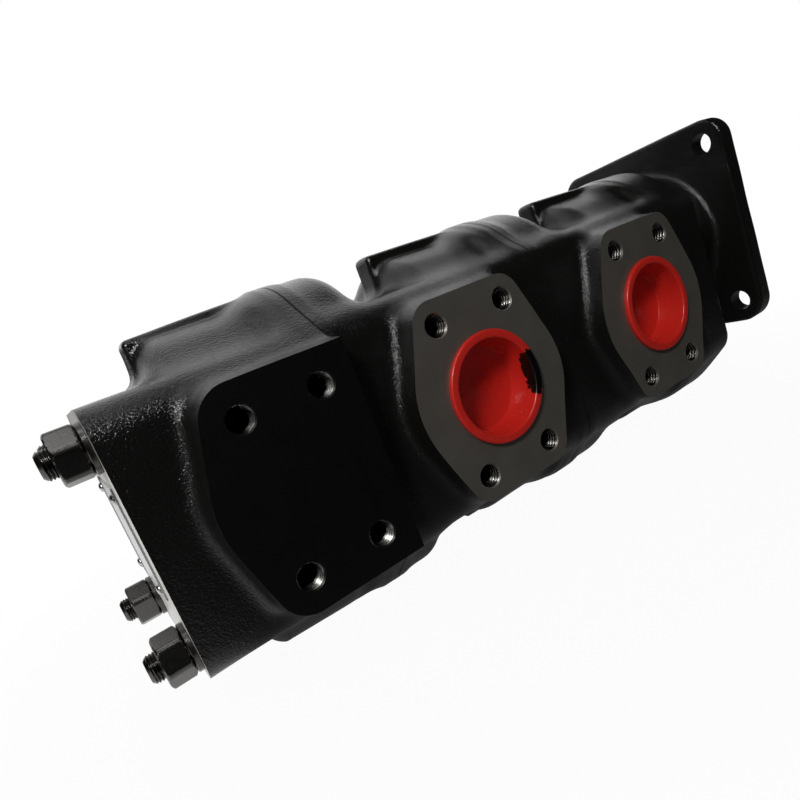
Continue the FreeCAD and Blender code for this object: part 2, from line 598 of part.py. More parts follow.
def compound(name, shapes):
    group = doc.addObject("Part::Compound", name)
    group.Links = shapes
    return keep(group, name)


def pair(name, x, radius, length):
    # Two rods on the gear axes, joined
    drive = cylinder(f"{name}_drive", x, "0", "0", radius, length)
    idler = cylinder(f"{name}_idler", x, "0", IDLER_AXIS, radius, length)
    return fuse(name, [drive, idler])


def tube(name, x, z, outer, inner, length):
    outside = cylinder(f"{name}_outside", x, "0", z, outer, length)
    inside = cylinder(f"{name}_inside", x, "0", z, inner, length)
    return keep(cut(name, outside, inside), name)


def polygon_prism(name, points, x, length):
    # A bar along X whose section holds computed points, as (y, z)
    corners = [Vector(0, y, z) for y, z in points]
    face = Part.Face(Part.makePolygon(corners + corners[:1]))
    bar = doc.addObject("Part::Feature", name)
    bar.Shape = face.extrude(Vector(value(length), 0, 0))
    bar.Placement = FreeCAD.Placement(Vector(value(x), 0, 0), FreeCAD.Rotation())
    return bar


def spline_points(count, outer, inner, phase=0.0):
    points = []
    for tooth in range(count):
        middle = phase + 2 * math.pi * tooth / count
        for share, radius in ((-0.30, inner), (-0.18, outer), (0.18, outer), (0.30, inner)):
            angle = middle + share * 2 * math.pi / count
            points.append((radius * math.sin(angle), radius * math.cos(angle)))
    return points


def gear_ring(name, x, z, width, tooth_down):
    # Involute teeth, each flank one arc through three points of its involute
    count = int(value("Sizes.teeth"))
    pitch = value("Sizes.gear_centres / 2")
    module = value(MODULE)
    slope = math.radians(value("Sizes.pressure_angle"))
    base = pitch * math.cos(slope)
    tip = pitch + module
    root = pitch - 1.25 * module
    half = (math.pi * module / 2 - value("Sizes.backlash")) / 2 / pitch + math.tan(slope) - slope

    def flank_point(radius, side, middle):
        swing = math.acos(min(1.0, base / radius))
        angle = middle + side * (half - math.tan(swing) + swing)
        return Vector(0, radius * math.sin(angle), radius * math.cos(angle))

    edges = []
    step = 2 * math.pi / count
    start = math.pi if tooth_down else math.pi / count
    for tooth in range(count):
        middle = start + tooth * step
        foot = [Vector(0, root * math.sin(middle + side * half), root * math.cos(middle + side * half))
                for side in (-1, 1)]
        rise = [flank_point(radius, -1, middle) for radius in (base, (base + tip) / 2, tip)]
        fall = [flank_point(radius, 1, middle) for radius in (tip, (base + tip) / 2, base)]
        crown = Vector(0, tip * math.sin(middle), tip * math.cos(middle))
        valley = Vector(0, root * math.sin(middle + step / 2), root * math.cos(middle + step / 2))
        following = middle + step - half
        next_foot = Vector(0, root * math.sin(following), root * math.cos(following))
        edges.append(Part.makeLine(foot[0], rise[0]))
        edges.append(Part.Arc(*rise).toShape())
        edges.append(Part.Arc(rise[2], crown, fall[0]).toShape())
        edges.append(Part.Arc(*fall).toShape())
        edges.append(Part.makeLine(fall[2], foot[1]))
        edges.append(Part.Arc(foot[1], valley, next_foot).toShape())
    ring = doc.addObject("Part::Feature", name)
    ring.Shape = Part.Face(Part.Wire(edges)).extrude(Vector(value(width), 0, 0))
    ring.Placement = FreeCAD.Placement(Vector(value(x), 0, value(z)), FreeCAD.Rotation())
    return ring


def gear_start(section):
    return f"{section['plane']} - Sizes.plate_thickness - Sizes.side_clearance - {section['gear']}"


def journal_start(section):
    return f"{section['plane']} - {section['chamber']} - Sizes.journal_length"


def journal_span(section):
    return f"{section['chamber']} + 2 * Sizes.journal_length"


def socket(name, x, length):
    clearance = value("Sizes.coupling_clearance")
    outer = value("Sizes.coupling_diameter / 2") + clearance
    inner = value("Sizes.coupling_diameter / 2 - Sizes.coupling_depth") + clearance
    return polygon_prism(name, spline_points(int(value("Sizes.coupling_teeth")), outer, inner), x, length)


def make_gears():
    depth = "(Sizes.coupling_grip + 1)"
    for name, section in SECTIONS.items():
        start, span = journal_start(section), journal_span(section)
        idler_ring = gear_ring(f"{name}_idler_teeth", gear_start(section), IDLER_AXIS, section["gear"], False)
        idler_rod = cylinder(f"{name}_idler_rod", start, "0", IDLER_AXIS, "Sizes.journal_diameter / 2", span)
        keep(fuse(f"idler_gear_{name}", [idler_ring, idler_rod]), f"idler_gear_{name}")
        drive_ring = gear_ring(f"{name}_drive_teeth", gear_start(section), "0", section["gear"], True)
        if name == "front":
            span = f"Sizes.shaft_reach - Sizes.spline_length - ({start})"
        drive_rod = cylinder(f"{name}_drive_rod", start, "0", "0", "Sizes.journal_diameter / 2", span)
        shapes = [drive_ring, drive_rod]
        if name == "front":
            outer = value("Sizes.spline_diameter / 2")
            points = spline_points(int(value("Sizes.spline_teeth")), outer, outer - value("Sizes.spline_depth"))
            shapes.append(polygon_prism("drive_spline", points, "Sizes.shaft_reach - Sizes.spline_length",
                                        "Sizes.spline_length"))
        sockets = []
        if name != "rear":
            sockets.append(socket(f"{name}_back_socket", start, depth))
        if name != "front":
            sockets.append(socket(f"{name}_front_socket", f"{start} + {span} - {depth}", depth))
        tool = sockets[0] if len(sockets) == 1 else fuse(f"{name}_sockets", sockets)
        label = "drive_shaft" if name == "front" else f"drive_gear_{name}"
        keep(cut(label, fuse(f"{name}_drive_blank", shapes), tool), label)


def make_coupling_shafts():
    outer = value("Sizes.coupling_diameter / 2")
    points = spline_points(int(value("Sizes.coupling_teeth")), outer, outer - value("Sizes.coupling_depth"))
    for name, behind, ahead in (("front", "middle", "front"), ("rear", "rear", "middle")):
        start = f"{SECTIONS[behind]['plane']} + Sizes.journal_length - Sizes.coupling_grip"
        end = f"{journal_start(SECTIONS[ahead])} + Sizes.coupling_grip"
        label = f"coupling_shaft_{name}"
        keep(polygon_prism(label, points, start, f"({end}) - ({start})"), label)


def make_bushes():
    inner = "Sizes.journal_diameter / 2 + Sizes.journal_clearance"
    for name, section in SECTIONS.items():
        ends = (("back", f"{section['plane']} - {section['chamber']} - Sizes.bush_length"),
                ("front", section["plane"]))
        for end, x in ends:
            for axis_name, z in (("drive", "0"), ("idler", IDLER_AXIS)):
                tube(f"bush_{name}_{axis_name}_{end}", x, z, BUSH_RADIUS, inner, "Sizes.bush_length")


def make_thrust_plates():
    seal_outer = "Sizes.gear_centres / 2 + 1.8"
    seal_inner = f"{seal_outer} - Sizes.plate_seal_width"
    for name, section in SECTIONS.items():
        back = f"{section['plane']} - {section['chamber']}"
        front = f"{section['plane']} - Sizes.plate_thickness"
        seal_front = f"{section['plane']} - Sizes.plate_seal_depth"
        for end, x, seal_x in (("back", back, back), ("front", front, seal_front)):
            label = f"thrust_plate_{name}_{end}"
            blank = pair(f"{label}_blank", x, PLATE_RADIUS, "Sizes.plate_thickness")
            bores = pair(f"{label}_bores", x, PLATE_BORE, "Sizes.plate_thickness")
            seal_label = f"plate_seal_{name}_{end}"
            ring = pair(f"{seal_label}_outside", seal_x, seal_outer, "Sizes.plate_seal_depth")
            core = pair(f"{seal_label}_inside", seal_x, seal_inner, "Sizes.plate_seal_depth")
            seal = keep(cut(seal_label, ring, core), seal_label)
            keep(cut(label, cut(f"{label}_bored", blank, bores), seal), label)


def make_section_seals():
    # A square ring in the groove of each parting face; the rear one also rounds the gallery
    for name, section in SECTIONS.items():
        body = new_body(f"section_seal_{name}", f"{section['plane']} - Sizes.groove_depth")
        ring = new_sketch(body, f"section_seal_{name}_ring", "YZ_Plane")
        add_outline(ring, seal_corners("Sizes.groove_width", name == "rear"))
        add_outline(ring, seal_corners("0", name == "rear"))
        add_feature(body, "Pad", ring, "Sizes.groove_depth")


def stud_places():
    for y_sign in ("-", ""):
        for z_sign in ("-", ""):
            yield f"{y_sign}Sizes.stud_side", f"{MIDDLE_PLANE} + {z_sign}Sizes.stud_rise"


def make_tie_bolts():
    studs, nuts, washers = [], [], []
    seat = f"({REAR_FACE} - Sizes.washer_thickness)"
    nut_seat = f"{seat} - Sizes.nut_height"
    corner = "Sizes.nut_flats / 2 / cos(30)"
    for index, (y, z) in enumerate(stud_places()):
        tip = f"{REAR_FACE} - Sizes.stud_proud"
        studs.append(cylinder(f"stud_{index}", tip, y, z, "Sizes.stud_diameter / 2",
                              f"{FRONT_PLANE} + Sizes.stud_grip - ({tip})"))
        ring = cylinder(f"washer_{index}_ring", seat, y, z, "Sizes.washer_diameter / 2", "Sizes.washer_thickness")
        hole = cylinder(f"washer_{index}_hole", seat, y, z, STUD_HOLE, "Sizes.washer_thickness")
        washers.append(cut(f"washer_{index}", ring, hole))
        prism = doc.addObject("Part::Prism", f"nut_{index}_hexagon")
        turn = doc.addObject("Part::Cone", f"nut_{index}_chamfer")
        for blank in (prism, turn):
            blank.Placement = FreeCAD.Placement(Vector(0, 0, 0), ALONG_X)
            blank.setExpression("Placement.Base.x", nut_seat)
            blank.setExpression("Placement.Base.y", y)
            blank.setExpression("Placement.Base.z", z)
            blank.setExpression("Height", "Sizes.nut_height")
        prism.Polygon = 6
        prism.setExpression("Circumradius", corner)
        turn.setExpression("Radius1", "Sizes.nut_flats / 2")
        turn.setExpression("Radius2", "Sizes.nut_flats / 2 + Sizes.nut_height / tan(30)")
        solid = doc.addObject("Part::Common", f"nut_{index}_blank")
        solid.Base = prism
        solid.Tool = turn
        thread = cylinder(f"nut_{index}_thread", nut_seat, y, z, "Sizes.stud_diameter / 2", "Sizes.nut_height")
        nuts.append(cut(f"nut_{index}", solid, thread))
    compound("tie_studs", studs)
    compound("tie_nuts", nuts)
    compound("tie_washers", washers)


def make_dowels():
    dowels = []
    for name, section in SECTIONS.items():
        x = f"{section['plane']} - Sizes.dowel_length / 2"
        for end, y, z in (("drive", "-Sizes.dowel_side", "Sizes.dowel_rise"),
                          ("idler", "Sizes.dowel_side", f"{IDLER_AXIS} - Sizes.dowel_rise")):
            dowels.append(cylinder(f"dowel_{name}_{end}", x, y, z, "Sizes.dowel_diameter / 2", "Sizes.dowel_length"))
    compound("dowel_pins", dowels)


def make_nameplate():
    plate = doc.addObject("Part::Box", "nameplate_sheet")
    plate.setExpression("Length", "Sizes.nameplate_thickness")
    plate.setExpression("Width", "Sizes.nameplate_width")
    plate.setExpression("Height", "Sizes.nameplate_height")
    plate.setExpression("Placement.Base.x", f"{REAR_FACE} - Sizes.nameplate_thickness")
    plate.setExpression("Placement.Base.y", "-Sizes.nameplate_width / 2")
    plate.setExpression("Placement.Base.z", f"{MIDDLE_PLANE} - Sizes.nameplate_height / 2")
    screws, holes = [], []
    face = f"{REAR_FACE} - Sizes.nameplate_thickness"
    index = 0
    for y_sign in ("-", ""):
        for z_sign in ("-", ""):
            y = f"{y_sign}Sizes.rivet_side"
            z = f"{MIDDLE_PLANE} + {z_sign}Sizes.rivet_rise"
            head = cylinder(f"screw_{index}_head", f"{face} - Sizes.rivet_proud", y, z,
                            "Sizes.rivet_head / 2", "Sizes.rivet_proud")
            shank = cylinder(f"screw_{index}_shank", face, y, z, "Sizes.rivet_shank / 2",
                             "Sizes.nameplate_thickness + Sizes.rivet_length")
            holes.append(cylinder(f"screw_{index}_hole", face, y, z, "Sizes.rivet_shank / 2",
                                  "Sizes.nameplate_thickness"))
            screws.append(fuse(f"screw_{index}", [head, shank]))
            index += 1
    keep(cut("nameplate", plate, fuse("nameplate_holes", holes)), "nameplate")
    compound("nameplate_screws", screws)


def make_shaft_seal():
    seal_x = "Sizes.pilot_height - 2 * Sizes.ring_thickness - Sizes.seal_thickness"
    tube("shaft_seal", seal_x, "0", "Sizes.seal_diameter / 2",
         "Sizes.journal_diameter / 2 + Sizes.journal_clearance", "Sizes.seal_thickness")
    tube("retaining_ring", "Sizes.pilot_height - 2 * Sizes.ring_thickness", "0",
         "Sizes.seal_diameter / 2 + Sizes.ring_bite",
         "Sizes.seal_diameter / 2 + Sizes.ring_bite - Sizes.ring_width", "Sizes.ring_thickness")


def make_cap(name, x, port, far_side):
    # A deep plastic cup whose rim lies on the port face
    body = new_body(name, x)
    if far_side:
        body.Placement = FreeCAD.Placement(Vector(0, 0, 0), FreeCAD.Rotation(Vector(0, 0, 1), 180))
        body.setExpression("Placement.Base.x", x)
    body.setExpression("Placement.Base.y", "Sizes.port_reach" if far_side else "-Sizes.port_reach")
    body.setExpression("Placement.Base.z", MIDDLE_PLANE)
    cup = f"(Sizes.{port}_bore / 2 - Sizes.cap_clearance)"
    hollow = f"({cup} - Sizes.cap_wall)"
    rim = f"(Sizes.{port}_bore / 2 + Sizes.cap_lip)"
    floor = "(Sizes.cap_depth - Sizes.cap_floor)"
    profile = new_sketch(body, f"{name}_profile", "XY_Plane")
    add_outline(profile, [("0", floor, "0"), (hollow, floor, "0"), (hollow, "-Sizes.cap_rim", "0"),
                          (rim, "-Sizes.cap_rim", "0"), (rim, "0", "0"), (cup, "0", "0"),
                          (cup, "Sizes.cap_depth", "0"), ("0", "Sizes.cap_depth", "0")])
    add_revolution(body, profile, "V_Axis")


make_rear_housing()
make_ported_housing("middle_housing", SECTIONS["middle"], "Sizes.middle_nose", True)
make_ported_housing("front_housing", SECTIONS["front"], "Sizes.front_nose", False)
make_cover()
make_section_seals()
make_gears()
make_coupling_shafts()
make_bushes()
make_thrust_plates()
make_tie_bolts()
make_dowels()
make_nameplate()
make_shaft_seal()
for section_name in ("middle", "front"):
    make_cap(f"inlet_cap_{section_name}", f"{SECTIONS[section_name]['plane']} - Sizes.inlet_place", "inlet", False)
for section_name in ("rear", "middle", "front"):
    make_cap(f"outlet_cap_{section_name}", f"{SECTIONS[section_name]['plane']} - Sizes.outlet_place", "outlet", True)

doc.recompute()

# Nothing is written until every object has computed and every piece is a sound solid
for item in doc.Objects:
    if "Invalid" in item.State or "Error" in item.State:
        raise RuntimeError(f"{item.Name} did not compute: {item.State}")
for piece in pieces:
    if piece.Shape.isNull() or not piece.Shape.isValid() or not piece.Shape.Solids:
        raise RuntimeError(f"{piece.Label} is not a sound solid")

os.makedirs("parts", exist_ok=True)
for piece in pieces:
    piece.Shape.exportStep(f"parts/{piece.Label}.step")
print(len(pieces), "pieces written")
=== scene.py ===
import json
import math
import bmesh
import bpy
import numpy as np
import openvdb
from mathutils import Matrix, Vector

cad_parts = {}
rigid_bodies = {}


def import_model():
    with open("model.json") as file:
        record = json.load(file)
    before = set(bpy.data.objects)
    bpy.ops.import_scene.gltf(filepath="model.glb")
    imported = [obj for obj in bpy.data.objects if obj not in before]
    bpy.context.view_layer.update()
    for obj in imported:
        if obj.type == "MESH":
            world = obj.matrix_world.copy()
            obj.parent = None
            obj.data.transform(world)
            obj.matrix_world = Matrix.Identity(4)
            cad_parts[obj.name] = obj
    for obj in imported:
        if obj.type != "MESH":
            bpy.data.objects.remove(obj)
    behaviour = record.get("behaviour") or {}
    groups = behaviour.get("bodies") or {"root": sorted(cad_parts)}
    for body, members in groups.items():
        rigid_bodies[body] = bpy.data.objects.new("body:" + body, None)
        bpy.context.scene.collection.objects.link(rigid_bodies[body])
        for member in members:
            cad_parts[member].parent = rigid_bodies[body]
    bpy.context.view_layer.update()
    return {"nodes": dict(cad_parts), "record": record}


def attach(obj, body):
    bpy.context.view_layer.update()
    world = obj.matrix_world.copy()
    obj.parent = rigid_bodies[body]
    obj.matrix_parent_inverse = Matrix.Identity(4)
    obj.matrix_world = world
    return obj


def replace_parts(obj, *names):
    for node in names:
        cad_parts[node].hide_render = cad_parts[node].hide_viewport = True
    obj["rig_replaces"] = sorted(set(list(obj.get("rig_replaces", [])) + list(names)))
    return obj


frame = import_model()
scene = bpy.context.scene
mm = 0.001

# Places that several pieces share, in millimetres. X runs along the drive shaft towards the
# flange, the near side with the inlets is -Y, and Z is up from the drive axis.
pump = {
    "gearCentres": 50.8,
    "studSide": 47.0,
    "studRise": 45.0,
    "studRadius": 6.35,
    "studProud": 18.5,
    "railRadius": 15.5,
    "coverParting": -66.0,
    "middleParting": -200.4,
    "rearParting": -334.8,
    "rearFace": -434.8,
    "portReach": 76.2,        # machined port faces, from the shaft plane
    "blankReach": 77.1,
    "chamberRadius": 29.75,
    "bushRadius": 18.52,
    "bushRecess": 28.0,
}
middleZ = -pump["gearCentres"] / 2
sideWall = pump["studSide"] + pump["railRadius"]
ports = {
    "inlet": {"side": -1, "facing": "-y", "reach": pump["portReach"], "bore": 50.8, "depth": 46.0,
              "pitchX": 42.88, "pitchZ": 77.77, "disc": 46.0, "ear": 12.0, "thread": 12.7, "pitch": 1.954},
    "outlet": {"side": 1, "facing": "y", "reach": pump["portReach"], "bore": 31.75, "depth": 48.0,
               "pitchX": 30.18, "pitchZ": 58.72, "disc": 34.0, "ear": 11.0, "thread": 11.1, "pitch": 1.814},
    "blank": {"side": -1, "facing": "-y", "reach": pump["blankReach"], "bore": 0.0, "depth": 0.0,
              "pitchX": 35.71, "pitchZ": 69.85, "disc": 41.0, "ear": 15.0, "thread": 12.7, "pitch": 1.954},
}
# each housing's port on the near side and on the far side, and the ends of the cored way in it
housings = {
    "rear_housing": {"front": pump["rearParting"], "back": pump["rearFace"], "nose": 0.0, "noseRound": 0.0,
                     "crestEnd": 57.0, "idlerFlank": 58.6, "chamber": 50.1,
                     "near": ("blank", -369.0), "far": ("outlet", -374.8),
                     "cored": (-376.9, pump["rearParting"] + 1)},
    "middle_housing": {"front": pump["middleParting"], "back": pump["rearParting"], "nose": 32.0,
                       "noseRound": 12.0, "crestEnd": 59.6, "idlerFlank": 56.2, "chamber": 56.1,
                       "near": ("inlet", -265.8), "far": ("outlet", -240.4),
                       "cored": (pump["rearParting"] - 1, -265.8)},
    "front_housing": {"front": pump["coverParting"], "back": pump["middleParting"], "nose": 40.0,
                      "noseRound": 14.0, "crestEnd": 60.0, "idlerFlank": 55.2, "chamber": 56.1,
                      "near": ("inlet", -131.4), "far": ("outlet", -106.0), "cored": None},
}


# Materials: one function turns a hex colour to linear, one adds a node with its links

def linearColour(text):
    parts = [int(text[i:i + 2], 16) / 255 for i in (1, 3, 5)]
    return [p / 12.92 if p <= 0.04045 else ((p + 0.055) / 1.055) ** 2.4 for p in parts] + [1.0]


def addNode(tree, kind, settings=None, inputs=None):
    # An input takes a value, a socket or a node, which stands for its first output
    node = tree.nodes.new(kind)
    for name, setting in (settings or {}).items():
        setattr(node, name, setting)
    for name, source in (inputs or {}).items():
        if isinstance(source, bpy.types.Node):
            source = source.outputs[0]
        if isinstance(source, bpy.types.NodeSocket):
            tree.links.new(source, node.inputs[name])
        else:
            node.inputs[name].default_value = source
    return node


def startMaterial(name):
    material = bpy.data.materials.new(name)
    material.use_nodes = True
    tree = material.node_tree
    tree.nodes.clear()
    return material, tree, addNode(tree, "ShaderNodeTexCoord").outputs["Object"]


def endMaterial(tree, values):
    shader = addNode(tree, "ShaderNodeBsdfPrincipled", inputs=values)
    addNode(tree, "ShaderNodeOutputMaterial", inputs={"Surface": shader})


def unevenGloss(tree, place, size, low, high, detail=2.0):
    # Roughness that wanders between two values, in patches of this size in millimetres
    patches = addNode(tree, "ShaderNodeTexNoise", inputs={
        "Vector": place, "Scale": 1 / (size * mm), "Detail": detail})
    return addNode(tree, "ShaderNodeMapRange", inputs={"Value": patches, "To Min": low, "To Max": high})


def unevenSkin(tree, place, size, depth, detail=2.0):
    # Normals of a skin whose grains have this size and depth in millimetres
    grains = addNode(tree, "ShaderNodeTexNoise", inputs={
        "Vector": place, "Scale": 1 / (size * mm), "Detail": detail})
    return addNode(tree, "ShaderNodeBump", inputs={"Height": grains, "Distance": depth * mm})


def makeBlackPaint():
    # Black enamel sprayed over a sand casting: wet gloss, broken into glints by the sand grain
    material, tree, place = startMaterial("blackPaint")
    spot = addNode(tree, "ShaderNodeSeparateXYZ", inputs={0: place}).outputs
    # the grain is deep on the rails and walls and shallow on the gear cases above them
    strength = addNode(tree, "ShaderNodeMapRange", inputs={
        "Value": spot["Z"], "From Min": 0.044, "From Max": 0.052, "To Min": 1.0, "To Max": 0.7})
    # real sand is finer: the grain is drawn 1 mm wide, so that it shows
    sand = addNode(tree, "ShaderNodeTexNoise", inputs={
        "Vector": place, "Scale": 1 / (1.0 * mm), "Roughness": 0.6})
    grain = addNode(tree, "ShaderNodeBump", inputs={
        "Height": sand, "Distance": 0.42 * mm, "Strength": strength})
    # a thin dark joint where two castings meet: their parting planes are evenly spaced
    pitch = (pump["coverParting"] - pump["middleParting"]) * mm
    shifted = addNode(tree, "ShaderNodeMath", {"operation": "SUBTRACT"}, {
        0: spot["X"], 1: pump["coverParting"] * mm})
    apart = addNode(tree, "ShaderNodeMath", {"operation": "PINGPONG"}, {0: shifted, 1: pitch / 2})
    joint = addNode(tree, "ShaderNodeMapRange", inputs={
        "Value": apart, "From Min": 0.35 * mm, "From Max": 0.8 * mm, "To Min": 0.04, "To Max": 0.5})
    endMaterial(tree, {
        "Base Color": linearColour("#121311"), "Roughness": unevenGloss(tree, place, 18.0, 0.1, 0.18),
        "Specular IOR Level": joint, "Normal": grain})
    return material


def makePadPaint():
    # The same enamel over a milled pad: flat and satin, with a few duller patches
    material, tree, place = startMaterial("padPaint")
    endMaterial(tree, {
        "Base Color": linearColour("#0a0b0a"), "Specular IOR Level": 0.3,
        "Roughness": unevenGloss(tree, place, 9.0, 0.3, 0.42, 3.0),
        "Normal": unevenSkin(tree, place, 2.2, 0.06)})
    return material


def makeMachinedIron():
    # Bare grey iron from a face mill: dull metal with fine tool marks and a brownish film
    material, tree, place = startMaterial("machinedIron")
    marks = addNode(tree, "ShaderNodeMapping", inputs={"Vector": place, "Scale": (1.0, 1.0, 0.12)})
    stains = addNode(tree, "ShaderNodeTexNoise", inputs={
        "Vector": place, "Scale": 1 / (16.0 * mm), "Detail": 3.0})
    colour = addNode(tree, "ShaderNodeMix", {"data_type": "RGBA"}, {
        "Factor": stains, 6: linearColour("#64605a"), 7: linearColour("#7a766e")})
    endMaterial(tree, {
        "Base Color": colour.outputs[2], "Metallic": 0.6,
        "Roughness": unevenGloss(tree, marks, 0.5, 0.36, 0.52),
        "Normal": unevenSkin(tree, marks, 0.5, 0.02)})
    return material


def makeMilledFacePaintedSheen():
    # Freshly milled iron, seen at a low angle as a pale silver strip; its pale, half-diffuse colour is
    # partly a painted highlight, lit by a lamp in place of a bright reflection
    material, tree, place = startMaterial("milledFacePaintedSheen")
    marks = addNode(tree, "ShaderNodeMapping", inputs={"Vector": place, "Scale": overFace})
    endMaterial(tree, {
        "Base Color": linearColour("#d2d0cb"), "Metallic": 0.25,
        "Roughness": unevenGloss(tree, marks, 0.5, 0.3, 0.5)})
    return material


def makeRedPlastic():
    # Moulded polyethylene in signal red: waxy, a little see-through, with soft wide highlights
    material, tree, place = startMaterial("redPlastic")
    # black paint brushed into the mouth of the middle inlet's cap, as a ragged oval
    centre = Vector((-242.2, -79.5, -26.4)) * mm
    reach = (0.006, 0.0075, 0.0105)
    apart = addNode(tree, "ShaderNodeVectorMath", {"operation": "SUBTRACT"}, {0: place, 1: centre})
    scaled = addNode(tree, "ShaderNodeVectorMath", {"operation": "MULTIPLY"}, {
        0: apart, 1: tuple(1 / side for side in reach)})
    length = addNode(tree, "ShaderNodeVectorMath", {"operation": "LENGTH"}, {0: scaled})
    wisps = addNode(tree, "ShaderNodeTexNoise", inputs={
        "Vector": place, "Scale": 1 / (4.0 * mm), "Detail": 3.0})
    ragged = addNode(tree, "ShaderNodeMath", {"operation": "MULTIPLY_ADD"}, {
        0: wisps, 1: 0.9, 2: length.outputs["Value"]})
    mask = addNode(tree, "ShaderNodeMapRange", inputs={
        "Value": ragged, "From Min": 1.55, "From Max": 1.62, "To Min": 0.0, "To Max": 1.0})
    colour = addNode(tree, "ShaderNodeMix", {"data_type": "RGBA"}, {
        "Factor": mask, 6: linearColour("#080808"), 7: linearColour("#c4241c")})
    endMaterial(tree, {
        "Base Color": colour.outputs[2], "Roughness": unevenGloss(tree, place, 8.0, 0.22, 0.34),
        "Subsurface Weight": 0.03, "Subsurface Radius": (0.004, 0.001, 0.0008), "Subsurface Scale": 0.5,
        "Normal": unevenSkin(tree, place, 5.0, 0.12, 1.0)})
    return material


def makeBlackOxide():
    # Black oxide steel with an oil film: near black metal with a soft sheen
    material, tree, place = startMaterial("blackOxide")
    endMaterial(tree, {
        "Base Color": linearColour("#585755"), "Metallic": 1.0,
        "Roughness": unevenGloss(tree, place, 1.8, 0.24, 0.32, 3.0),
        "Normal": unevenSkin(tree, place, 0.9, 0.03)})
    return material


def makeBrushedMetal(name, colour, rough, stretch):
    # A metal with marks in one direction, drawn 0.6 mm wide so that they show; the colour gives
    # the alloy
    material, tree, place = startMaterial(name)
    marks = addNode(tree, "ShaderNodeMapping", inputs={"Vector": place, "Scale": stretch})
    endMaterial(tree, {
        "Base Color": linearColour(colour), "Metallic": 1.0,
        "Roughness": unevenGloss(tree, marks, 0.6, rough - 0.06, rough + 0.08),
        "Normal": unevenSkin(tree, marks, 0.6, 0.01)})
    return material


def makeThreadWithPaintedGlints(name, pitch):
    # Freshly tapped iron with painted light: the crests are painted bright as a highlight and the roots
    # between the turns painted dark as shade
    material, tree, place = startMaterial(name)
    along = addNode(tree, "ShaderNodeSeparateXYZ", inputs={0: place}).outputs["Y"]
    turns = addNode(tree, "ShaderNodeMath", {"operation": "PINGPONG"}, {0: along, 1: pitch / 2 * mm})
    # painted highlight and painted shade, in bands one pitch apart along the hole
    crest = addNode(tree, "ShaderNodeMapRange", inputs={
        "Value": turns, "From Min": 0.15 * pitch * mm, "From Max": 0.35 * pitch * mm})
    colour = addNode(tree, "ShaderNodeMix", {"data_type": "RGBA"}, {
        "Factor": crest, 6: linearColour("#2a2927"), 7: linearColour("#a6a49f")})
    endMaterial(tree, {
        "Base Color": colour.outputs[2], "Metallic": 1.0,
        "Roughness": unevenGloss(tree, place, 2.5, 0.18, 0.4)})
    return material


def makePlateSheetWithPaintedShade():
    # Satin aluminium sheet with painted shade: black along its far side, where that edge lies in shadow
    material, tree, place = startMaterial("plateSheet")
    across = addNode(tree, "ShaderNodeSeparateXYZ", inputs={0: place}).outputs["Y"]
    # painted shade: darkens from 13 mm to 16 mm towards +Y and is black beyond
    paintedEdgeShade = addNode(tree, "ShaderNodeMapRange", inputs={
        "Value": across, "From Min": 0.013, "From Max": 0.016, "To Min": 0.0, "To Max": 1.0})
    colour = addNode(tree, "ShaderNodeMix", {"data_type": "RGBA"}, {
        "Factor": paintedEdgeShade, 6: linearColour("#d6d7d8"), 7: linearColour("#141414")})
    marks = addNode(tree, "ShaderNodeMapping", inputs={"Vector": place, "Scale": overFace})
    endMaterial(tree, {
        "Base Color": colour.outputs[2], "Metallic": 1.0,
        "Roughness": unevenGloss(tree, marks, 0.6, 0.28, 0.42)})
    return material


def makeRubber():
    # Nitrile rubber: matt black with a faint moulded grain
    material, tree, place = startMaterial("nitrileRubber")
    endMaterial(tree, {
        "Base Color": linearColour("#161616"), "Roughness": unevenGloss(tree, place, 1.5, 0.55, 0.7)})
    return material


# Marks run along the axis whose scale is small
alongShaft = (0.1, 1.0, 1.0)
overFace = (1.0, 0.1, 1.0)
blackPaint = makeBlackPaint()
padPaint = makePadPaint()
machinedIron = makeMachinedIron()
milledFacePaintedSheen = makeMilledFacePaintedSheen()
redPlastic = makeRedPlastic()
blackOxide = makeBlackOxide()
threadsWithPaintedGlints = {port: makeThreadWithPaintedGlints(f"{port}Thread", ports[port]["pitch"]) for port in ports}
portFaces = {"inlet": machinedIron, "outlet": machinedIron, "blank": padPaint}
slotMaterials = {
    "black_painted_iron": blackPaint,
    "red_plastic": redPlastic,
    "black_oxide_steel": blackOxide,
    "seal_rubber": makeRubber(),
    "bearing_bronze": makeBrushedMetal("bearingBronze", "#a8814c", 0.3, alongShaft),
    "plate_bronze": makeBrushedMetal("plateBronze", "#b38b52", 0.34, overFace),
    "bare_aluminium": makePlateSheetWithPaintedShade(),
    "plated_steel": makeBrushedMetal("platedSteel", "#b9bab8", 0.28, overFace),
    "ground_steel": makeBrushedMetal("groundSteel", "#9a9b9c", 0.24, alongShaft),
}
print("materials", len(bpy.data.materials))


# Mesh helpers: closed solids in millimetres, and cutters that carry their material into a cut

def newObject(name, data):
    thing = bpy.data.objects.new(name, data)
    scene.collection.objects.link(thing)
    return thing


def solidMesh(name, points, faces):
    mesh = bpy.data.meshes.new(name)
    mesh.from_pydata([tuple(c * mm for c in p) for p in points], [], faces)
    work = bmesh.new()
    work.from_mesh(mesh)
    bmesh.ops.remove_doubles(work, verts=work.verts, dist=1e-7)
    bmesh.ops.recalc_face_normals(work, faces=work.faces)
    work.to_mesh(mesh)
    work.free()
    return mesh


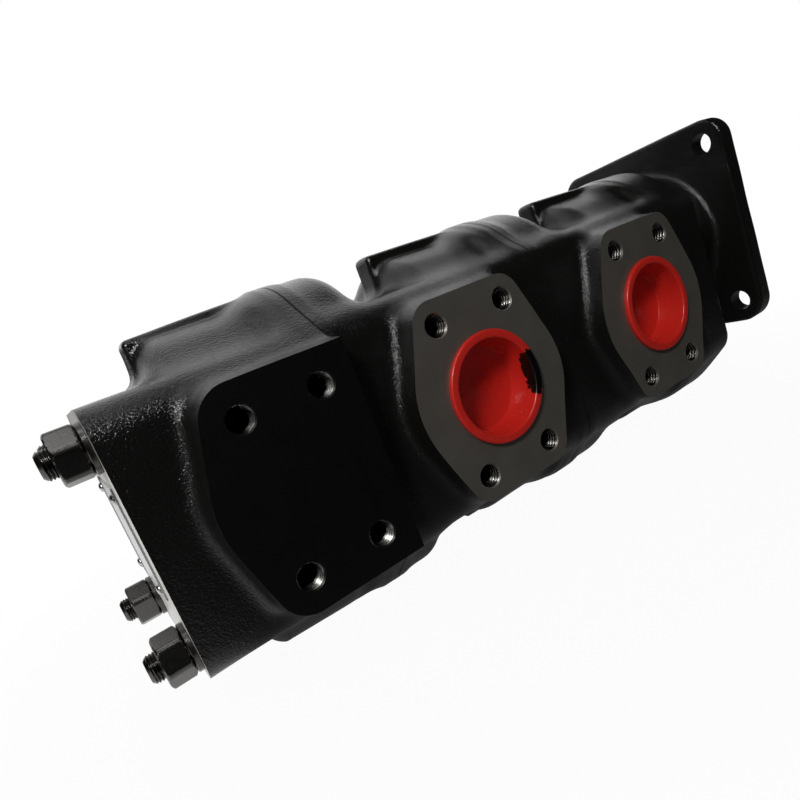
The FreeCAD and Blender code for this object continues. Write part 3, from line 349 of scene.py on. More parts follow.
def turned(outline, steps, facing="x", centre=(0, 0, 0), closed=False):
    # Turns (place along the axis, radius) pairs into a solid; a closed outline makes a ring
    angles = 2 * math.pi * np.arange(steps) / steps
    points, faces, rings = [], [], []
    for along, radius in outline:
        ring = list(range(len(points), len(points) + (steps if radius > 0 else 1)))
        rings.append(ring)
        points += [(along, radius * math.cos(a), radius * math.sin(a)) for a in angles[:len(ring)]]
    for first, second in zip(rings, rings[1:] + (rings[:1] if closed else [])):
        for k in range(steps):
            corners = (first[k % len(first)], first[(k + 1) % steps % len(first)],
                       second[(k + 1) % steps % len(second)], second[k % len(second)])
            faces.append(list(dict.fromkeys(corners)))
    if not closed:
        faces += [ring for ring in (rings[0], rings[-1]) if len(ring) > 2]
    face = {"x": lambda a, u, v: (a, u, v), "y": lambda a, u, v: (v, a, u),
            "-y": lambda a, u, v: (u, -a, v)}[facing]
    return solidMesh("turned", [tuple(c + q for c, q in zip(centre, face(*p))) for p in points], faces)


def rod(start, end, radius, steps, centre=(0, 0, 0)):
    return turned([(start, 0.0), (start, radius), (end, radius), (end, 0.0)], steps, centre=centre)


def block(low, high):
    points = [(x, y, z) for x in (low[0], high[0]) for y in (low[1], high[1]) for z in (low[2], high[2])]
    faces = [(0, 1, 3, 2), (4, 5, 7, 6), (0, 1, 5, 4), (2, 3, 7, 6), (0, 2, 6, 4), (1, 3, 7, 5)]
    return solidMesh("block", points, faces)


def joined(meshes):
    work = bmesh.new()
    for mesh in meshes:
        work.from_mesh(mesh)
        bpy.data.meshes.remove(mesh)
    mesh = bpy.data.meshes.new("joined")
    work.to_mesh(mesh)
    work.free()
    return mesh


def machine(piece, cutter, material=None, operation="DIFFERENCE"):
    # New faces take this material, or the cutter's own where none is given
    if material:
        cutter.materials.clear()
        cutter.materials.append(material)
    tool = newObject("cutter", cutter)
    modifier = piece.modifiers.new("machining", "BOOLEAN")
    modifier.operation = operation
    modifier.solver = "MANIFOLD"
    modifier.material_mode = "TRANSFER"
    modifier.object = tool
    result = bpy.data.meshes.new_from_object(piece.evaluated_get(bpy.context.evaluated_depsgraph_get()))
    piece.modifiers.clear()
    old = piece.data
    piece.data = result
    bpy.data.meshes.remove(old)
    bpy.data.objects.remove(tool)
    bpy.data.meshes.remove(cutter)


def finishPiece(piece, body, nodes, sharpAngle=35):
    piece.data.polygons.foreach_set("use_smooth", [True] * len(piece.data.polygons))
    piece.data.set_sharp_from_angle(angle=math.radians(sharpAngle))
    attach(piece, body)
    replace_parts(piece, *nodes)


# Geometry Nodes: a threaded rod, and a square of four copies of a piece

def newTree(name, sockets):
    tree = bpy.data.node_groups.new(name, "GeometryNodeTree")
    tree.interface.new_socket("Geometry", in_out="INPUT", socket_type="NodeSocketGeometry")
    for socketName, kind in sockets.items():
        tree.interface.new_socket(socketName, in_out="INPUT", socket_type=f"NodeSocket{kind}")
    tree.interface.new_socket("Geometry", in_out="OUTPUT", socket_type="NodeSocketGeometry")
    return tree, addNode(tree, "NodeGroupInput").outputs


def endTree(tree, geometry, material):
    real = addNode(tree, "GeometryNodeRealizeInstances", inputs={"Geometry": geometry})
    painted = addNode(tree, "GeometryNodeSetMaterial", inputs={"Geometry": real, "Material": material})
    addNode(tree, "NodeGroupOutput", inputs={"Geometry": painted})


def grown(mesh, tree, values):
    # The mesh that a tree makes of another one; the modifier and its object go again
    carrier = newObject("carrier", mesh)
    modifier = carrier.modifiers.new("tree", "NODES")
    modifier.node_group = tree
    for item in tree.interface.items_tree:
        if item.in_out == "INPUT" and item.name in values:
            modifier[item.identifier] = values[item.name]
    result = bpy.data.meshes.new_from_object(carrier.evaluated_get(bpy.context.evaluated_depsgraph_get()))
    bpy.data.objects.remove(carrier)
    bpy.data.meshes.remove(mesh)
    return result


def makeThreadTree():
    # A grid rolled into a rod along X whose radius follows the thread, closed at both ends
    sizes = ("Radius", "Depth", "Pitch", "Length", "Lead")
    tree, given = newTree("threadedRod", dict.fromkeys(sizes, "Float") | {"Material": "Material"})
    spot = addNode(tree, "GeometryNodeInputPosition")
    spot = addNode(tree, "ShaderNodeSeparateXYZ", inputs={0: spot}).outputs
    known = {size: given[size] for size in sizes} | {"gridX": spot["X"], "gridY": spot["Y"]}
    # each step has a name, an operation and what goes in: numbers, sizes or steps before it
    steps = (
        ("turns", "DIVIDE", "Length", "Pitch"),
        ("rows", "MULTIPLY_ADD", "turns", 8.0, 3.0),
        ("rows", "CEIL", "rows"),
        ("lastRow", "SUBTRACT", "rows", 1.0),
        ("around", "ADD", "gridX", 0.5),
        ("row", "ADD", "gridY", 0.5),
        ("row", "MULTIPLY", "row", "lastRow"),
        ("share", "SUBTRACT", "row", 1.0),
        ("sideRows", "SUBTRACT", "rows", 3.0),
        ("share", "DIVIDE", "share", "sideRows"),
        ("share", "MAXIMUM", "share", 0.0),
        ("share", "MINIMUM", "share", 1.0),
        ("along", "MULTIPLY", "share", "Length"),
        ("phase", "DIVIDE", "along", "Pitch"),
        ("phase", "SUBTRACT", "phase", "around"),
        ("groove", "PINGPONG", "phase", 0.5),
        ("groove", "MULTIPLY", "groove", 2.0),
        ("groove", "MULTIPLY", "groove", "Depth"),
        ("radius", "SUBTRACT", "Radius", "groove"),
        ("toEnd", "SUBTRACT", "Length", "along"),
        ("toEnd", "MINIMUM", "along", "toEnd"),
        ("leadIn", "SUBTRACT", "Radius", "Lead"),
        ("leadIn", "ADD", "leadIn", "toEnd"),
        ("radius", "MINIMUM", "radius", "leadIn"),
        ("inside", "SUBTRACT", "lastRow", "row"),
        ("inside", "MINIMUM", "row", "inside"),
        ("inside", "GREATER_THAN", "inside", 0.5),
        ("radius", "MULTIPLY", "radius", "inside"),
        ("angle", "MULTIPLY", "around", 2 * math.pi),
        ("across", "COSINE", "angle"),
        ("across", "MULTIPLY", "radius", "across"),
        ("up", "SINE", "angle"),
        ("up", "MULTIPLY", "radius", "up"),
    )
    for name, operation, *sources in steps:
        inputs = {index: known.get(source, source) for index, source in enumerate(sources)}
        known[name] = addNode(tree, "ShaderNodeMath", {"operation": operation}, inputs)
    grid = addNode(tree, "GeometryNodeMeshGrid", inputs={
        "Size X": 1.0, "Size Y": 1.0, "Vertices X": 33, "Vertices Y": known["rows"]})
    rolled = addNode(tree, "ShaderNodeCombineXYZ", inputs={
        "X": known["along"], "Y": known["across"], "Z": known["up"]})
    shaped = addNode(tree, "GeometryNodeSetPosition", inputs={"Geometry": grid, "Position": rolled})
    closed = addNode(tree, "GeometryNodeMergeByDistance", inputs={"Geometry": shaped, "Distance": 1e-6})
    endTree(tree, closed, given["Material"])
    return tree


def makeSquareTree():
    # Four copies of a piece that points along X, in a rectangle, each spun by its own amount
    tree, given = newTree("boltSquare", {
        "Rise": "Float", "Across": "Float", "Centre": "Vector", "Facing": "Vector", "Spin": "Float",
        "Seed": "Int", "Material": "Material"})
    grid = addNode(tree, "GeometryNodeMeshGrid", inputs={
        "Size X": given["Rise"], "Size Y": given["Across"], "Vertices X": 2, "Vertices Y": 2})
    upright = addNode(tree, "GeometryNodeTransform", inputs={
        "Geometry": grid, "Rotation": (0.0, math.pi / 2, 0.0)})
    spin = addNode(tree, "FunctionNodeRandomValue", {"data_type": "FLOAT"}, {
        "Max": given["Spin"], "Seed": given["Seed"]}).outputs[1]
    turn = addNode(tree, "ShaderNodeCombineXYZ", inputs={"X": spin})
    copies = addNode(tree, "GeometryNodeInstanceOnPoints", inputs={
        "Points": upright, "Instance": given["Geometry"], "Rotation": turn})
    placed = addNode(tree, "GeometryNodeTransform", inputs={
        "Geometry": copies, "Rotation": given["Facing"], "Translation": given["Centre"]})
    endTree(tree, placed, given["Material"])
    return tree


threadTree = makeThreadTree()
squareTree = makeSquareTree()
facings = {"x": 0.0, "y": math.pi / 2, "-y": -math.pi / 2}    # turned about Z


def threadedRod(radius, depth, pitch, length, lead, material):
    start = bpy.data.meshes.new("start")
    return grown(start, threadTree, {"Radius": radius * mm, "Depth": depth * mm, "Pitch": pitch * mm,
                                     "Length": length * mm, "Lead": lead * mm, "Material": material})


def square(mesh, across, rise, centre, facing, material, spin=0.0, seed=0):
    return grown(mesh, squareTree, {
        "Across": across * mm, "Rise": rise * mm, "Centre": Vector(centre) * mm,
        "Facing": Vector((0.0, 0.0, facings[facing])), "Spin": spin, "Seed": seed, "Material": material})


def studSquare(mesh, x, material, spin=0.0, seed=0):
    # One copy on each tie stud's axis
    return square(mesh, 2 * pump["studSide"], 2 * pump["studRise"], (x, 0, middleZ), "x", material,
                  spin, seed)


# Castings: a raw casting is a distance field in millimetres, which becomes a mesh and is machined

casting = {
    "voxel": 1.25,
    "crestRadius": 59.6,      # gear case crest at its parting plane, from a gear axis
    "caseLength": 70.0,       # gear case behind its parting plane
    "ribHalf": 8.6,           # rib along the crest, either side of the shaft plane
    "ribRound": 3.0,
    "ribBlend": 3.5,
    "idlerRibRound": 12.0,
    "flankRadius": 54.5,      # lowered flank beside the rib
    "flankEnd": 68.5,
    "flankRound": 12.0,
    "rampStart": 16.0,        # the flank rises to the crest's height before this place
    "rampSlope": 1.46,
    "rampLevel": 0.565,       # makes a distance of the ramp's height
    "rampRound": 2.5,
    "rampBlend": 5.0,
    "dimplePlace": 18.5,      # long hollow beside the parting plane
    "dimpleAngle": 41.0,
    "dimpleArc": 59.0,        # radius on which its length is measured
    "dimpleRadius": 60.3,     # radius of its middle, and its half sizes round, along and deep
    "dimpleRound": 10.0,
    "dimpleAlong": 4.6,
    "dimpleDeep": 3.4,
    "dimpleBlend": 3.0,
    "collarRadius": 60.7,
    "collarFade": 6.0,        # flush up to here, then it sinks into the casting
    "collarSink": 0.4,
    "collarLength": 30.0,
    "collarBlend": 2.5,
    "domeProud": 0.2,
    "blend": 9.0,
    "bossBlend": 7.0,
    "bossProud": 0.5,         # round its outline
    "bossPast": 3.0,          # past its machined face
    "bossRoot": 20.0,
    "draft": 0.12,
    "waviness": 0.16,
}
farAway = 1000.0


def blendUnion(a, b, width):
    share = np.clip(0.5 + 0.5 * (b - a) / width, 0.0, 1.0)
    return b * (1 - share) + a * share - width * share * (1 - share)


def blendBoth(a, b, width):
    return -blendUnion(-a, -b, width)


def blendCut(a, tool, width):
    return blendBoth(a, -tool, width)


def roundedEdge(a, b, radius):
    # Where two sides meet in a convex edge of this radius
    u, v = a + radius, b + radius
    return np.hypot(np.maximum(u, 0), np.maximum(v, 0)) + np.minimum(np.maximum(u, v), 0) - radius


def slab(u, v, halfU, halfV, radius):
    return roundedEdge(np.abs(u) - halfU, np.abs(v) - halfV, radius)


def railSlab(y, z):
    return slab(y, z - middleZ, sideWall, pump["studRise"] + pump["railRadius"], pump["railRadius"])


def taperedBar(u, v, start, end):
    # A flat bar between two circles, each given as (u, v, radius)
    u1, v1, r1 = start
    u2, v2, r2 = end
    span = math.hypot(u2 - u1, v2 - v1)
    alongU, alongV = (u2 - u1) / span, (v2 - v1) / span
    along = (u - u1) * alongU + (v - v1) * alongV
    across = np.abs((u - u1) * alongV - (v - v1) * alongU)
    lean = (r1 - r2) / span
    upright = math.sqrt(1 - lean * lean)
    place = -lean * across + upright * along
    side = across * upright + along * lean - r1
    return np.where(place < 0, np.hypot(across, along) - r1,
                    np.where(place > upright * span, np.hypot(across, along - span) - r2, side))


def collarOutline(y, z):
    field = railSlab(y, z)
    rise = pump["studRise"]
    for axisZ, railZ in ((0.0, middleZ + rise), (-pump["gearCentres"], middleZ - rise)):
        bar = taperedBar(np.abs(y), z, (0.0, axisZ, casting["collarRadius"]),
                         (pump["studSide"], railZ, pump["railRadius"]))
        field = np.minimum(field, bar)
    return field


def fadingCollar(y, z, away):
    # Away is the distance from the parting plane into the casting
    sunk = casting["collarSink"] * np.maximum(away - casting["collarFade"], 0.0)
    return np.maximum(collarOutline(y, z) + sunk, away - casting["collarLength"])


def portOutline(x, z, port, centreX, grow):
    across = np.abs(x - centreX)
    rise = np.abs(z - middleZ)
    ear = (port["pitchX"] / 2, port["pitchZ"] / 2, port["ear"] + grow)
    bar = taperedBar(across, rise, (0.0, 0.0, port["disc"] + grow), ear)
    top = np.hypot(np.maximum(across - ear[0], 0), rise - ear[1]) - ear[2]
    return np.minimum(bar, top)


def portBoss(x, y, z, kind, centreX):
    # A drafted boss that stands on the side wall, cast a little past its machined face
    port = ports[kind]
    out = y * port["side"]
    proud = casting["bossProud"]
    outline = portOutline(x, z, port, centreX, proud)
    if kind == "blank":
        strip = np.maximum(np.abs(z - middleZ) - port["pitchZ"] / 2 - port["ear"] - proud, centreX - x)
        outline = np.minimum(outline, strip)
    drafted = outline - casting["draft"] * (port["reach"] - out)
    ends = np.maximum(out - port["reach"] - casting["bossPast"], casting["bossRoot"] - out)
    return np.maximum(drafted, ends)


def gearCase(x, y, z, part):
    # A lowered flank with a rounded end, a rib along the crest and a ramp up to the full radius
    back = part["front"] - x
    crest = casting["crestRadius"]
    crest = crest + (part["crestEnd"] - crest) * back / casting["caseLength"]
    field = np.full_like(x, farAway)
    for axisZ, up, endRound, flankRadius in (
            (0.0, 1.0, casting["ribRound"], casting["flankRadius"]),
            (-pump["gearCentres"], -1.0, casting["idlerRibRound"], part["idlerFlank"])):
        rise = (z - axisZ) * up
        away = np.hypot(y, rise)
        case = roundedEdge(away - flankRadius, back - casting["flankEnd"], casting["flankRound"])
        post = roundedEdge(np.abs(y) - casting["ribHalf"], back - casting["caseLength"], casting["ribRound"])
        case = blendUnion(case, roundedEdge(post, away - crest, endRound), casting["ribBlend"])
        ramp = back - casting["rampStart"] - casting["rampSlope"] * (crest - away)
        ramp = roundedEdge(away - crest, ramp * casting["rampLevel"], casting["rampRound"])
        case = blendUnion(case, ramp, casting["rampBlend"])
        case = np.maximum(case, away - crest)
        field = np.minimum(field, np.where(rise > -pump["gearCentres"] / 2 - 1, case, farAway))
    return field


def dimples(x, y, z, parting):
    back = parting - x
    field = np.full_like(x, farAway)
    for axisZ, up in ((0.0, 1.0), (-pump["gearCentres"], -1.0)):
        rise = (z - axisZ) * up
        turn = np.arctan2(np.abs(y), rise) - math.radians(casting["dimpleAngle"])
        arc = turn * casting["dimpleArc"] / casting["dimpleRound"]
        along = (back - casting["dimplePlace"]) / casting["dimpleAlong"]
        deep = (np.hypot(y, rise) - casting["dimpleRadius"]) / casting["dimpleDeep"]
        hollow = np.sqrt(arc ** 2 + along ** 2 + deep ** 2)
        field = np.minimum(field, (hollow - 1) * casting["dimpleDeep"])
    return field


def bearingDome(x, y, z, part):
    # The round back of a housing, from its rear face forwards
    front = x - part["back"] - part["nose"]
    field = np.full_like(x, farAway)
    for axisZ in (0.0, -pump["gearCentres"]):
        away = np.hypot(y, z - axisZ) - casting["crestRadius"] - casting["domeProud"]
        field = np.minimum(field, roundedEdge(away, front, part["noseRound"]))
    return field


def sandWaves(x, y, z):
    # The slow unevenness of a sand mould
    waves = (np.sin(x / 9.0 + 1.3 * np.sin(y / 14.0)) * np.sin(z / 11.0 + 0.7)
             + np.sin(y / 7.0 + x / 17.0) * np.sin(z / 6.3 - x / 23.0))
    return casting["waviness"] * waves


def housingField(x, y, z, part):
    collarBlend = casting["collarBlend"]
    field = blendUnion(railSlab(y, z), gearCase(x, y, z, part), casting["blend"])
    field = blendUnion(field, fadingCollar(y, z, part["front"] - x), collarBlend)
    if part["nose"]:
        field = blendUnion(field, bearingDome(x, y, z, part), casting["blend"])
        field = blendUnion(field, fadingCollar(y, z, x - part["back"]), collarBlend)
    field = blendCut(field, dimples(x, y, z, part["front"]), casting["dimpleBlend"])
    for kind, centreX in (part["near"], part["far"]):
        field = blendUnion(field, portBoss(x, y, z, kind, centreX), casting["bossBlend"])
    return field + sandWaves(x, y, z)


cover = {
    "bodyFront": -43.0,
    "bodyRound": 4.0,
    "neckRadius": 50.0,
    "neckFoot": 34.0,
    "neckBlend": 8.0,
    "studGrip": 18.0,
    "studBore": 6.5,
    "flangeHalf": 73.0,
    "flangeCorner": 16.0,
    "flangeThickness": 12.0,
    "flangeEdge": 1.6,
    "flangeProud": 2.0,       # half of what the raw flange stands past its machined face
    "flangeBlend": 7.0,
    "boltPitch": 114.5,
    "boltRadius": 7.15,
    "pilotRadius": 63.5,
    "pilotHeight": 12.7,
    "pilotChamfer": 1.2,
    "passageRadius": 16.33,
    "sealRadius": 26.0,
    "sealSeat": 12.2,
    "waveShare": 0.6,
}


def coverField(x, y, z, part):
    body = roundedEdge(collarOutline(y, z), x - cover["bodyFront"], cover["bodyRound"])
    neck = taperedBar(y, z, (0.0, 0.0, cover["neckRadius"]), (0.0, -pump["gearCentres"], cover["neckFoot"]))
    field = blendUnion(body, np.maximum(neck, x), cover["neckBlend"])
    plate = slab(y, z, cover["flangeHalf"], cover["flangeHalf"], cover["flangeCorner"])
    half, proud = cover["flangeThickness"] / 2, cover["flangeProud"]
    plate = roundedEdge(plate, np.abs(x + half - proud) - half - proud, cover["flangeEdge"])
    return blendUnion(field, plate, cover["flangeBlend"]) + cover["waveShare"] * sandWaves(x, y, z)


def fieldMesh(name, function, part, low, high):
    voxel = casting["voxel"]
    axes = [np.arange(low[i], high[i] + voxel, voxel) for i in range(3)]
    grid = openvdb.FloatGrid(3.0)
    field = function(*np.meshgrid(*axes, indexing="ij"), part)
    grid.copyFromArray(np.clip(field, -3 * voxel, 3 * voxel).astype(np.float32))
    points, triangles, quads = grid.convertToPolygons(isovalue=0.0, adaptivity=0.0)
    points = points.astype(np.float64) * voxel + np.array(low)
    # settle each point on the exact surface, down the slope that small steps beside it show
    step = 0.05
    farthest = 0.4 * voxel
    for _ in range(2):
        value = function(*points.T, part)
        slope = np.stack([(function(*(points + aside).T, part) - value) / step
                          for aside in np.eye(3) * step], axis=1)
        size = np.maximum((slope ** 2).sum(axis=1), 0.2)
        points -= slope * np.clip(value / size, -farthest, farthest)[:, None]
    mesh = bpy.data.meshes.new(name)
    faces = [face[::-1] for face in quads.tolist() + triangles.tolist()]
    mesh.from_pydata((points * mm).tolist(), [], faces)
    mesh.materials.append(blackPaint)
    return mesh


# Machining of the castings

machining = {
    "fieldPast": 4,           # a raw casting's field runs this far past its parting planes
    "fieldSide": 82.0,
    "fieldBottom": -114.0,
    "fieldTop": 63.0,
    "clearEnd": 9,            # cutting blocks reach past the casting, to these places
    "clearSide": 100,
    "clearBottom": -130,
    "clearTop": 80,
    "studHole": 6.75,
    "passageRadius": 13.0,    # for the coupling shafts, and how far it starts inside the bush bores
    "passageInset": 20,
    "coredRadius": 12,        # the way that feeds the rear chambers from the middle inlet
    "coredY": -37,
    "wayStart": 14.2,         # the way from a port to its gear chambers
    "wayNear": 48.0,
    "wayFar": 38.0,
    "wayInset": 8,
    "wayHalf": 14,
    "chamferDeep": 0.7,       # at the mouth of a port
    "chamferPast": 0.6,
    "chamferWide": 1.3,
    "tapDepth": 0.92,
    "tapLength": 20.0,
    "tapLead": 1.6,
    "tapFoot": 18.7,          # the thread's foot below the face
    "sinkDeep": 0.9,
    "sinkPast": 0.6,
}


def tappedHoles(kind, centreX):
    port = ports[kind]
    radius = port["thread"] / 2
    thread = threadedRod(radius, machining["tapDepth"], port["pitch"], machining["tapLength"],
                         machining["tapLead"], threadsWithPaintedGlints[kind])
    deep, past = machining["sinkDeep"], machining["sinkPast"]
    sink = turned([(-deep, 0.0), (-deep, radius - deep), (past, radius + past), (past, 0.0)], 48)
    cuts = ((thread, machining["tapFoot"], threadsWithPaintedGlints[kind]), (sink, 0, portFaces[kind]))
    holes = []
    for mesh, foot, material in cuts:
        centre = (centreX, port["side"] * (port["reach"] - foot), middleZ)
        holes.append(square(mesh, port["pitchX"], port["pitchZ"], centre, port["facing"], material))
    return holes


def portBore(kind, centreX):
    port = ports[kind]
    radius = port["bore"] / 2
    bottom = port["reach"] - port["depth"]
    mouth = port["reach"] + machining["chamferPast"]
    outline = [(bottom, 0.0), (bottom, radius), (port["reach"] - machining["chamferDeep"], radius),
               (mouth, radius + machining["chamferWide"]), (mouth, 0.0)]
    return turned(outline, 128, port["facing"], (centreX, 0, middleZ))


def rodsOnAxes(x1, x2, radius, axes):
    return [rod(x1, x2, radius, 72, (0, 0, z)) for z in axes]


def makeHousing(name, part):
    front, back = part["front"], part["back"]
    past, side = machining["fieldPast"], machining["fieldSide"]
    low = (back - past, -side, machining["fieldBottom"])
    high = (front + past, side, machining["fieldTop"])
    piece = newObject(f"cast.{name}", fieldMesh(name, housingField, part, low, high))
    # the ends and the far face are milled first, then the near face
    nearPort = ports[part["near"][0]]
    bottomZ, topZ = machining["clearBottom"], machining["clearTop"]
    wide, clearEnd = machining["clearSide"], machining["clearEnd"]
    # the rear housing's milled faces take the pale colour that is partly a painted highlight
    machine(piece, block((back, -wide, bottomZ), (front, pump["portReach"], topZ)),
            machinedIron if part["nose"] else milledFacePaintedSheen, "INTERSECT")
    machine(piece, block((back - clearEnd, -nearPort["reach"], bottomZ), (front + clearEnd, wide, topZ)),
            portFaces[part["near"][0]], "INTERSECT")
    # then the gear chambers and the tapped holes, and last the bush bores, ways, studs and ports
    both = (0.0, -pump["gearCentres"])
    chamberEnd = front - part["chamber"]
    for cutter in rodsOnAxes(chamberEnd, front + 1, pump["chamberRadius"], both):
        machine(piece, cutter, machinedIron)
    cutters = rodsOnAxes(chamberEnd - pump["bushRecess"], chamberEnd + 1, pump["bushRadius"], both)
    if part["nose"]:
        inset = machining["passageInset"]
        cutters += rodsOnAxes(back - 1, back + pump["bushRecess"], pump["bushRadius"], both)
        cutters += rodsOnAxes(back + inset, chamberEnd - inset, machining["passageRadius"], both[:1])
    inset, half = machining["wayInset"], machining["wayHalf"]
    for side, reach in ((-1, machining["wayNear"]), (1, machining["wayFar"])):
        ends = sorted((side * machining["wayStart"], side * reach))
        cutters.append(block((chamberEnd + inset, ends[0], middleZ - half),
                             (front - inset, ends[1], middleZ + half)))
    if part["cored"]:
        cutters.append(rod(*part["cored"], machining["coredRadius"], 48, (0, machining["coredY"], middleZ)))
    studHole = rod(0.0, front + 1 - (back - 1), machining["studHole"], 32)
    cutters.append(studSquare(studHole, back - 1, machinedIron))
    for kind, centreX in (part["near"], part["far"]):
        if ports[kind]["bore"]:
            cutters.append(portBore(kind, centreX))
        for cutter in tappedHoles(kind, centreX):
            machine(piece, cutter)
    for cutter in cutters:
        machine(piece, cutter, machinedIron)
    finishPiece(piece, "housing", [name])
    print(piece.name, len(piece.data.polygons), "faces")


def makeCover():
    parting = pump["coverParting"]
    low = (parting - machining["fieldPast"], -78.0, machining["fieldBottom"])
    piece = newObject("cast.shaft_end_cover", fieldMesh("cover", coverField, None, low, (8.0, 78.0, 78.0)))
    wide = machining["clearSide"]
    machine(piece, block((parting, -wide, machining["clearBottom"]), (0, wide, wide)),
            machinedIron, "INTERSECT")
    height, radius, chamfer = cover["pilotHeight"], cover["pilotRadius"], cover["pilotChamfer"]
    pilot = turned([(-5, 0), (-5, radius), (height - chamfer, radius), (height, radius - chamfer),
                    (height, 0)], 128)
    machine(piece, pilot, machinedIron, "UNION")
    cutters = rodsOnAxes(parting - 1, parting + pump["bushRecess"], pump["bushRadius"],
                         (0.0, -pump["gearCentres"]))
    cutters += rodsOnAxes(parting + machining["passageInset"], height - 5, cover["passageRadius"], (0.0,))
    cutters += rodsOnAxes(height - cover["sealSeat"], height + 1, cover["sealRadius"], (0.0,))
    cutters.append(studSquare(rod(-1, cover["studGrip"], cover["studBore"], 32), parting, machinedIron))
    for cutter in cutters:
        machine(piece, cutter, machinedIron)
    bolt = rod(-20, 5, cover["boltRadius"], 64)
    bolts = square(bolt, cover["boltPitch"], cover["boltPitch"], (0, 0, 0), "x", blackPaint)
    machine(piece, bolts, blackPaint)
    finishPiece(piece, "housing", ["shaft_end_cover"])
    print(piece.name, len(piece.data.polygons), "faces")


for name, part in housings.items():
    makeHousing(name, part)
makeCover()


# Tie bolts: threaded studs, chamfered nuts and round washers

bolts = {
    "threadPitch": 1.27,
    "threadDepth": 0.72,
    "threadLength": 23.0,
    "threadLead": 1.7,
    "shankRadius": 6.3,
    "shankFoot": 5.7,         # radius where it leaves the thread
    "shankTaper": 0.7,
    "fit": 0.02,              # between a nut's bore and the thread's crest
    "nutFlats": 20.6,
    "nutHeight": 11.1,
    "nutCorner": 0.5,         # the rounding takes this much off a corner
    "nutChamfer": 0.9,        # across the flats, at each end
    "nutEdge": 0.25,
    "nutCurve": (0.4, 1.6),   # the turned chamfer's start and slope
    "nutSink": 0.9,           # chamfer of the bore
    "washerRadius": 10.9,
    "washerBore": 6.9,
    "washerThickness": 2.5,
    "washerRounds": (0.4, 0.3),
    "studSpin": 6.28,         # each stands at an angle of its own, up to this many radians
    "nutSpin": 1.05,
    "boltSeed": 1269,
}


def tieSquare(mesh, x, spin=0.0):
    return studSquare(mesh, x, blackOxide, spin, bolts["boltSeed"])


def hexNut():
    # A grid round the axis: the hexagon, its turned chamfers and the bore are one closed outline
    half = bolts["nutFlats"] / 2
    corner = half / math.cos(math.pi / 6)
    steps, halfRows = 120, 12
    height, edge, sink = bolts["nutHeight"], bolts["nutEdge"], bolts["nutSink"]
    bore = pump["studRadius"] + bolts["fit"]
    rim = half - bolts["nutChamfer"]
    curveStart, curveSlope = bolts["nutCurve"]
    rows = [(sink, bore), (0.0, bore + sink), (0.0, rim)]
    rows += [(edge + height * 0.5 * t / halfRows, None) for t in range(halfRows + 1)]
    rows += [(height - edge - height * 0.5 * t / halfRows, None) for t in range(halfRows - 1, -1, -1)]
    rows += [(height, rim), (height, bore + sink), (height - sink, bore)]
    points, faces = [], []
    for along, radius in rows:
        for k in range(steps):
            angle = 2 * math.pi * k / steps
            reach = radius
            if radius is None:
                flat = half / math.cos((angle + math.pi / 6) % (math.pi / 3) - math.pi / 6)
                curve = rim + curveStart + curveSlope * min(along, height - along)
                reach = min(flat, curve, corner - bolts["nutCorner"])
            points.append((along, reach * math.cos(angle), reach * math.sin(angle)))
    count = len(rows)
    for row in range(count):
        for k in range(steps):
            after = (k + 1) % steps
            ahead = (row + 1) % count
            faces.append((row * steps + k, row * steps + after, ahead * steps + after, ahead * steps + k))
    return solidMesh("hexNut", points, faces)


def makeTieBolts():
    face = pump["rearFace"]
    seat = face - bolts["washerThickness"]
    tip = face - pump["studProud"]
    thread = threadedRod(pump["studRadius"] - bolts["fit"], bolts["threadDepth"], bolts["threadPitch"],
                         bolts["threadLength"], bolts["threadLead"], blackOxide)
    start = bolts["threadLength"] - 0.6
    end = pump["coverParting"] + cover["studGrip"] - tip
    radius = bolts["shankRadius"]
    shank = turned([(start, 0), (start, bolts["shankFoot"]), (start + bolts["shankTaper"], radius),
                    (end, radius), (end, 0)], 40)
    studs = newObject("tieStuds", tieSquare(joined([thread, shank]), tip, bolts["studSpin"]))
    finishPiece(studs, "housing", ["tie_studs"], 50)
    nuts = newObject("tieNuts", tieSquare(hexNut(), seat - bolts["nutHeight"], bolts["nutSpin"]))
    finishPiece(nuts, "housing", ["tie_nuts"], 28)
    radius, bore, thick = bolts["washerRadius"], bolts["washerBore"], bolts["washerThickness"]
    outer, inner = bolts["washerRounds"]
    ring = turned([(0, bore), (0, radius - outer), (outer, radius), (thick - inner, radius),
                   (thick, radius - inner), (thick, bore)], 72, closed=True)
    washers = newObject("tieWashers", tieSquare(ring, seat))
    finishPiece(washers, "housing", ["tie_washers"], 28)


makeTieBolts()


# Blank nameplate with four drive screws

plate = {"width": 76.0, "height": 54.0, "thickness": 0.8, "corner": 3.0, "screwY": 32.0, "screwZ": 21.5,
         "headRadius": 2.6, "headHeight": 1.5, "holeRadius": 1.25, "pinRadius": 1.22, "pinLength": 6.5}


def screwSquare(mesh, x, material):
    return square(mesh, 2 * plate["screwY"], 2 * plate["screwZ"], (x, 0, middleZ), "x", material)


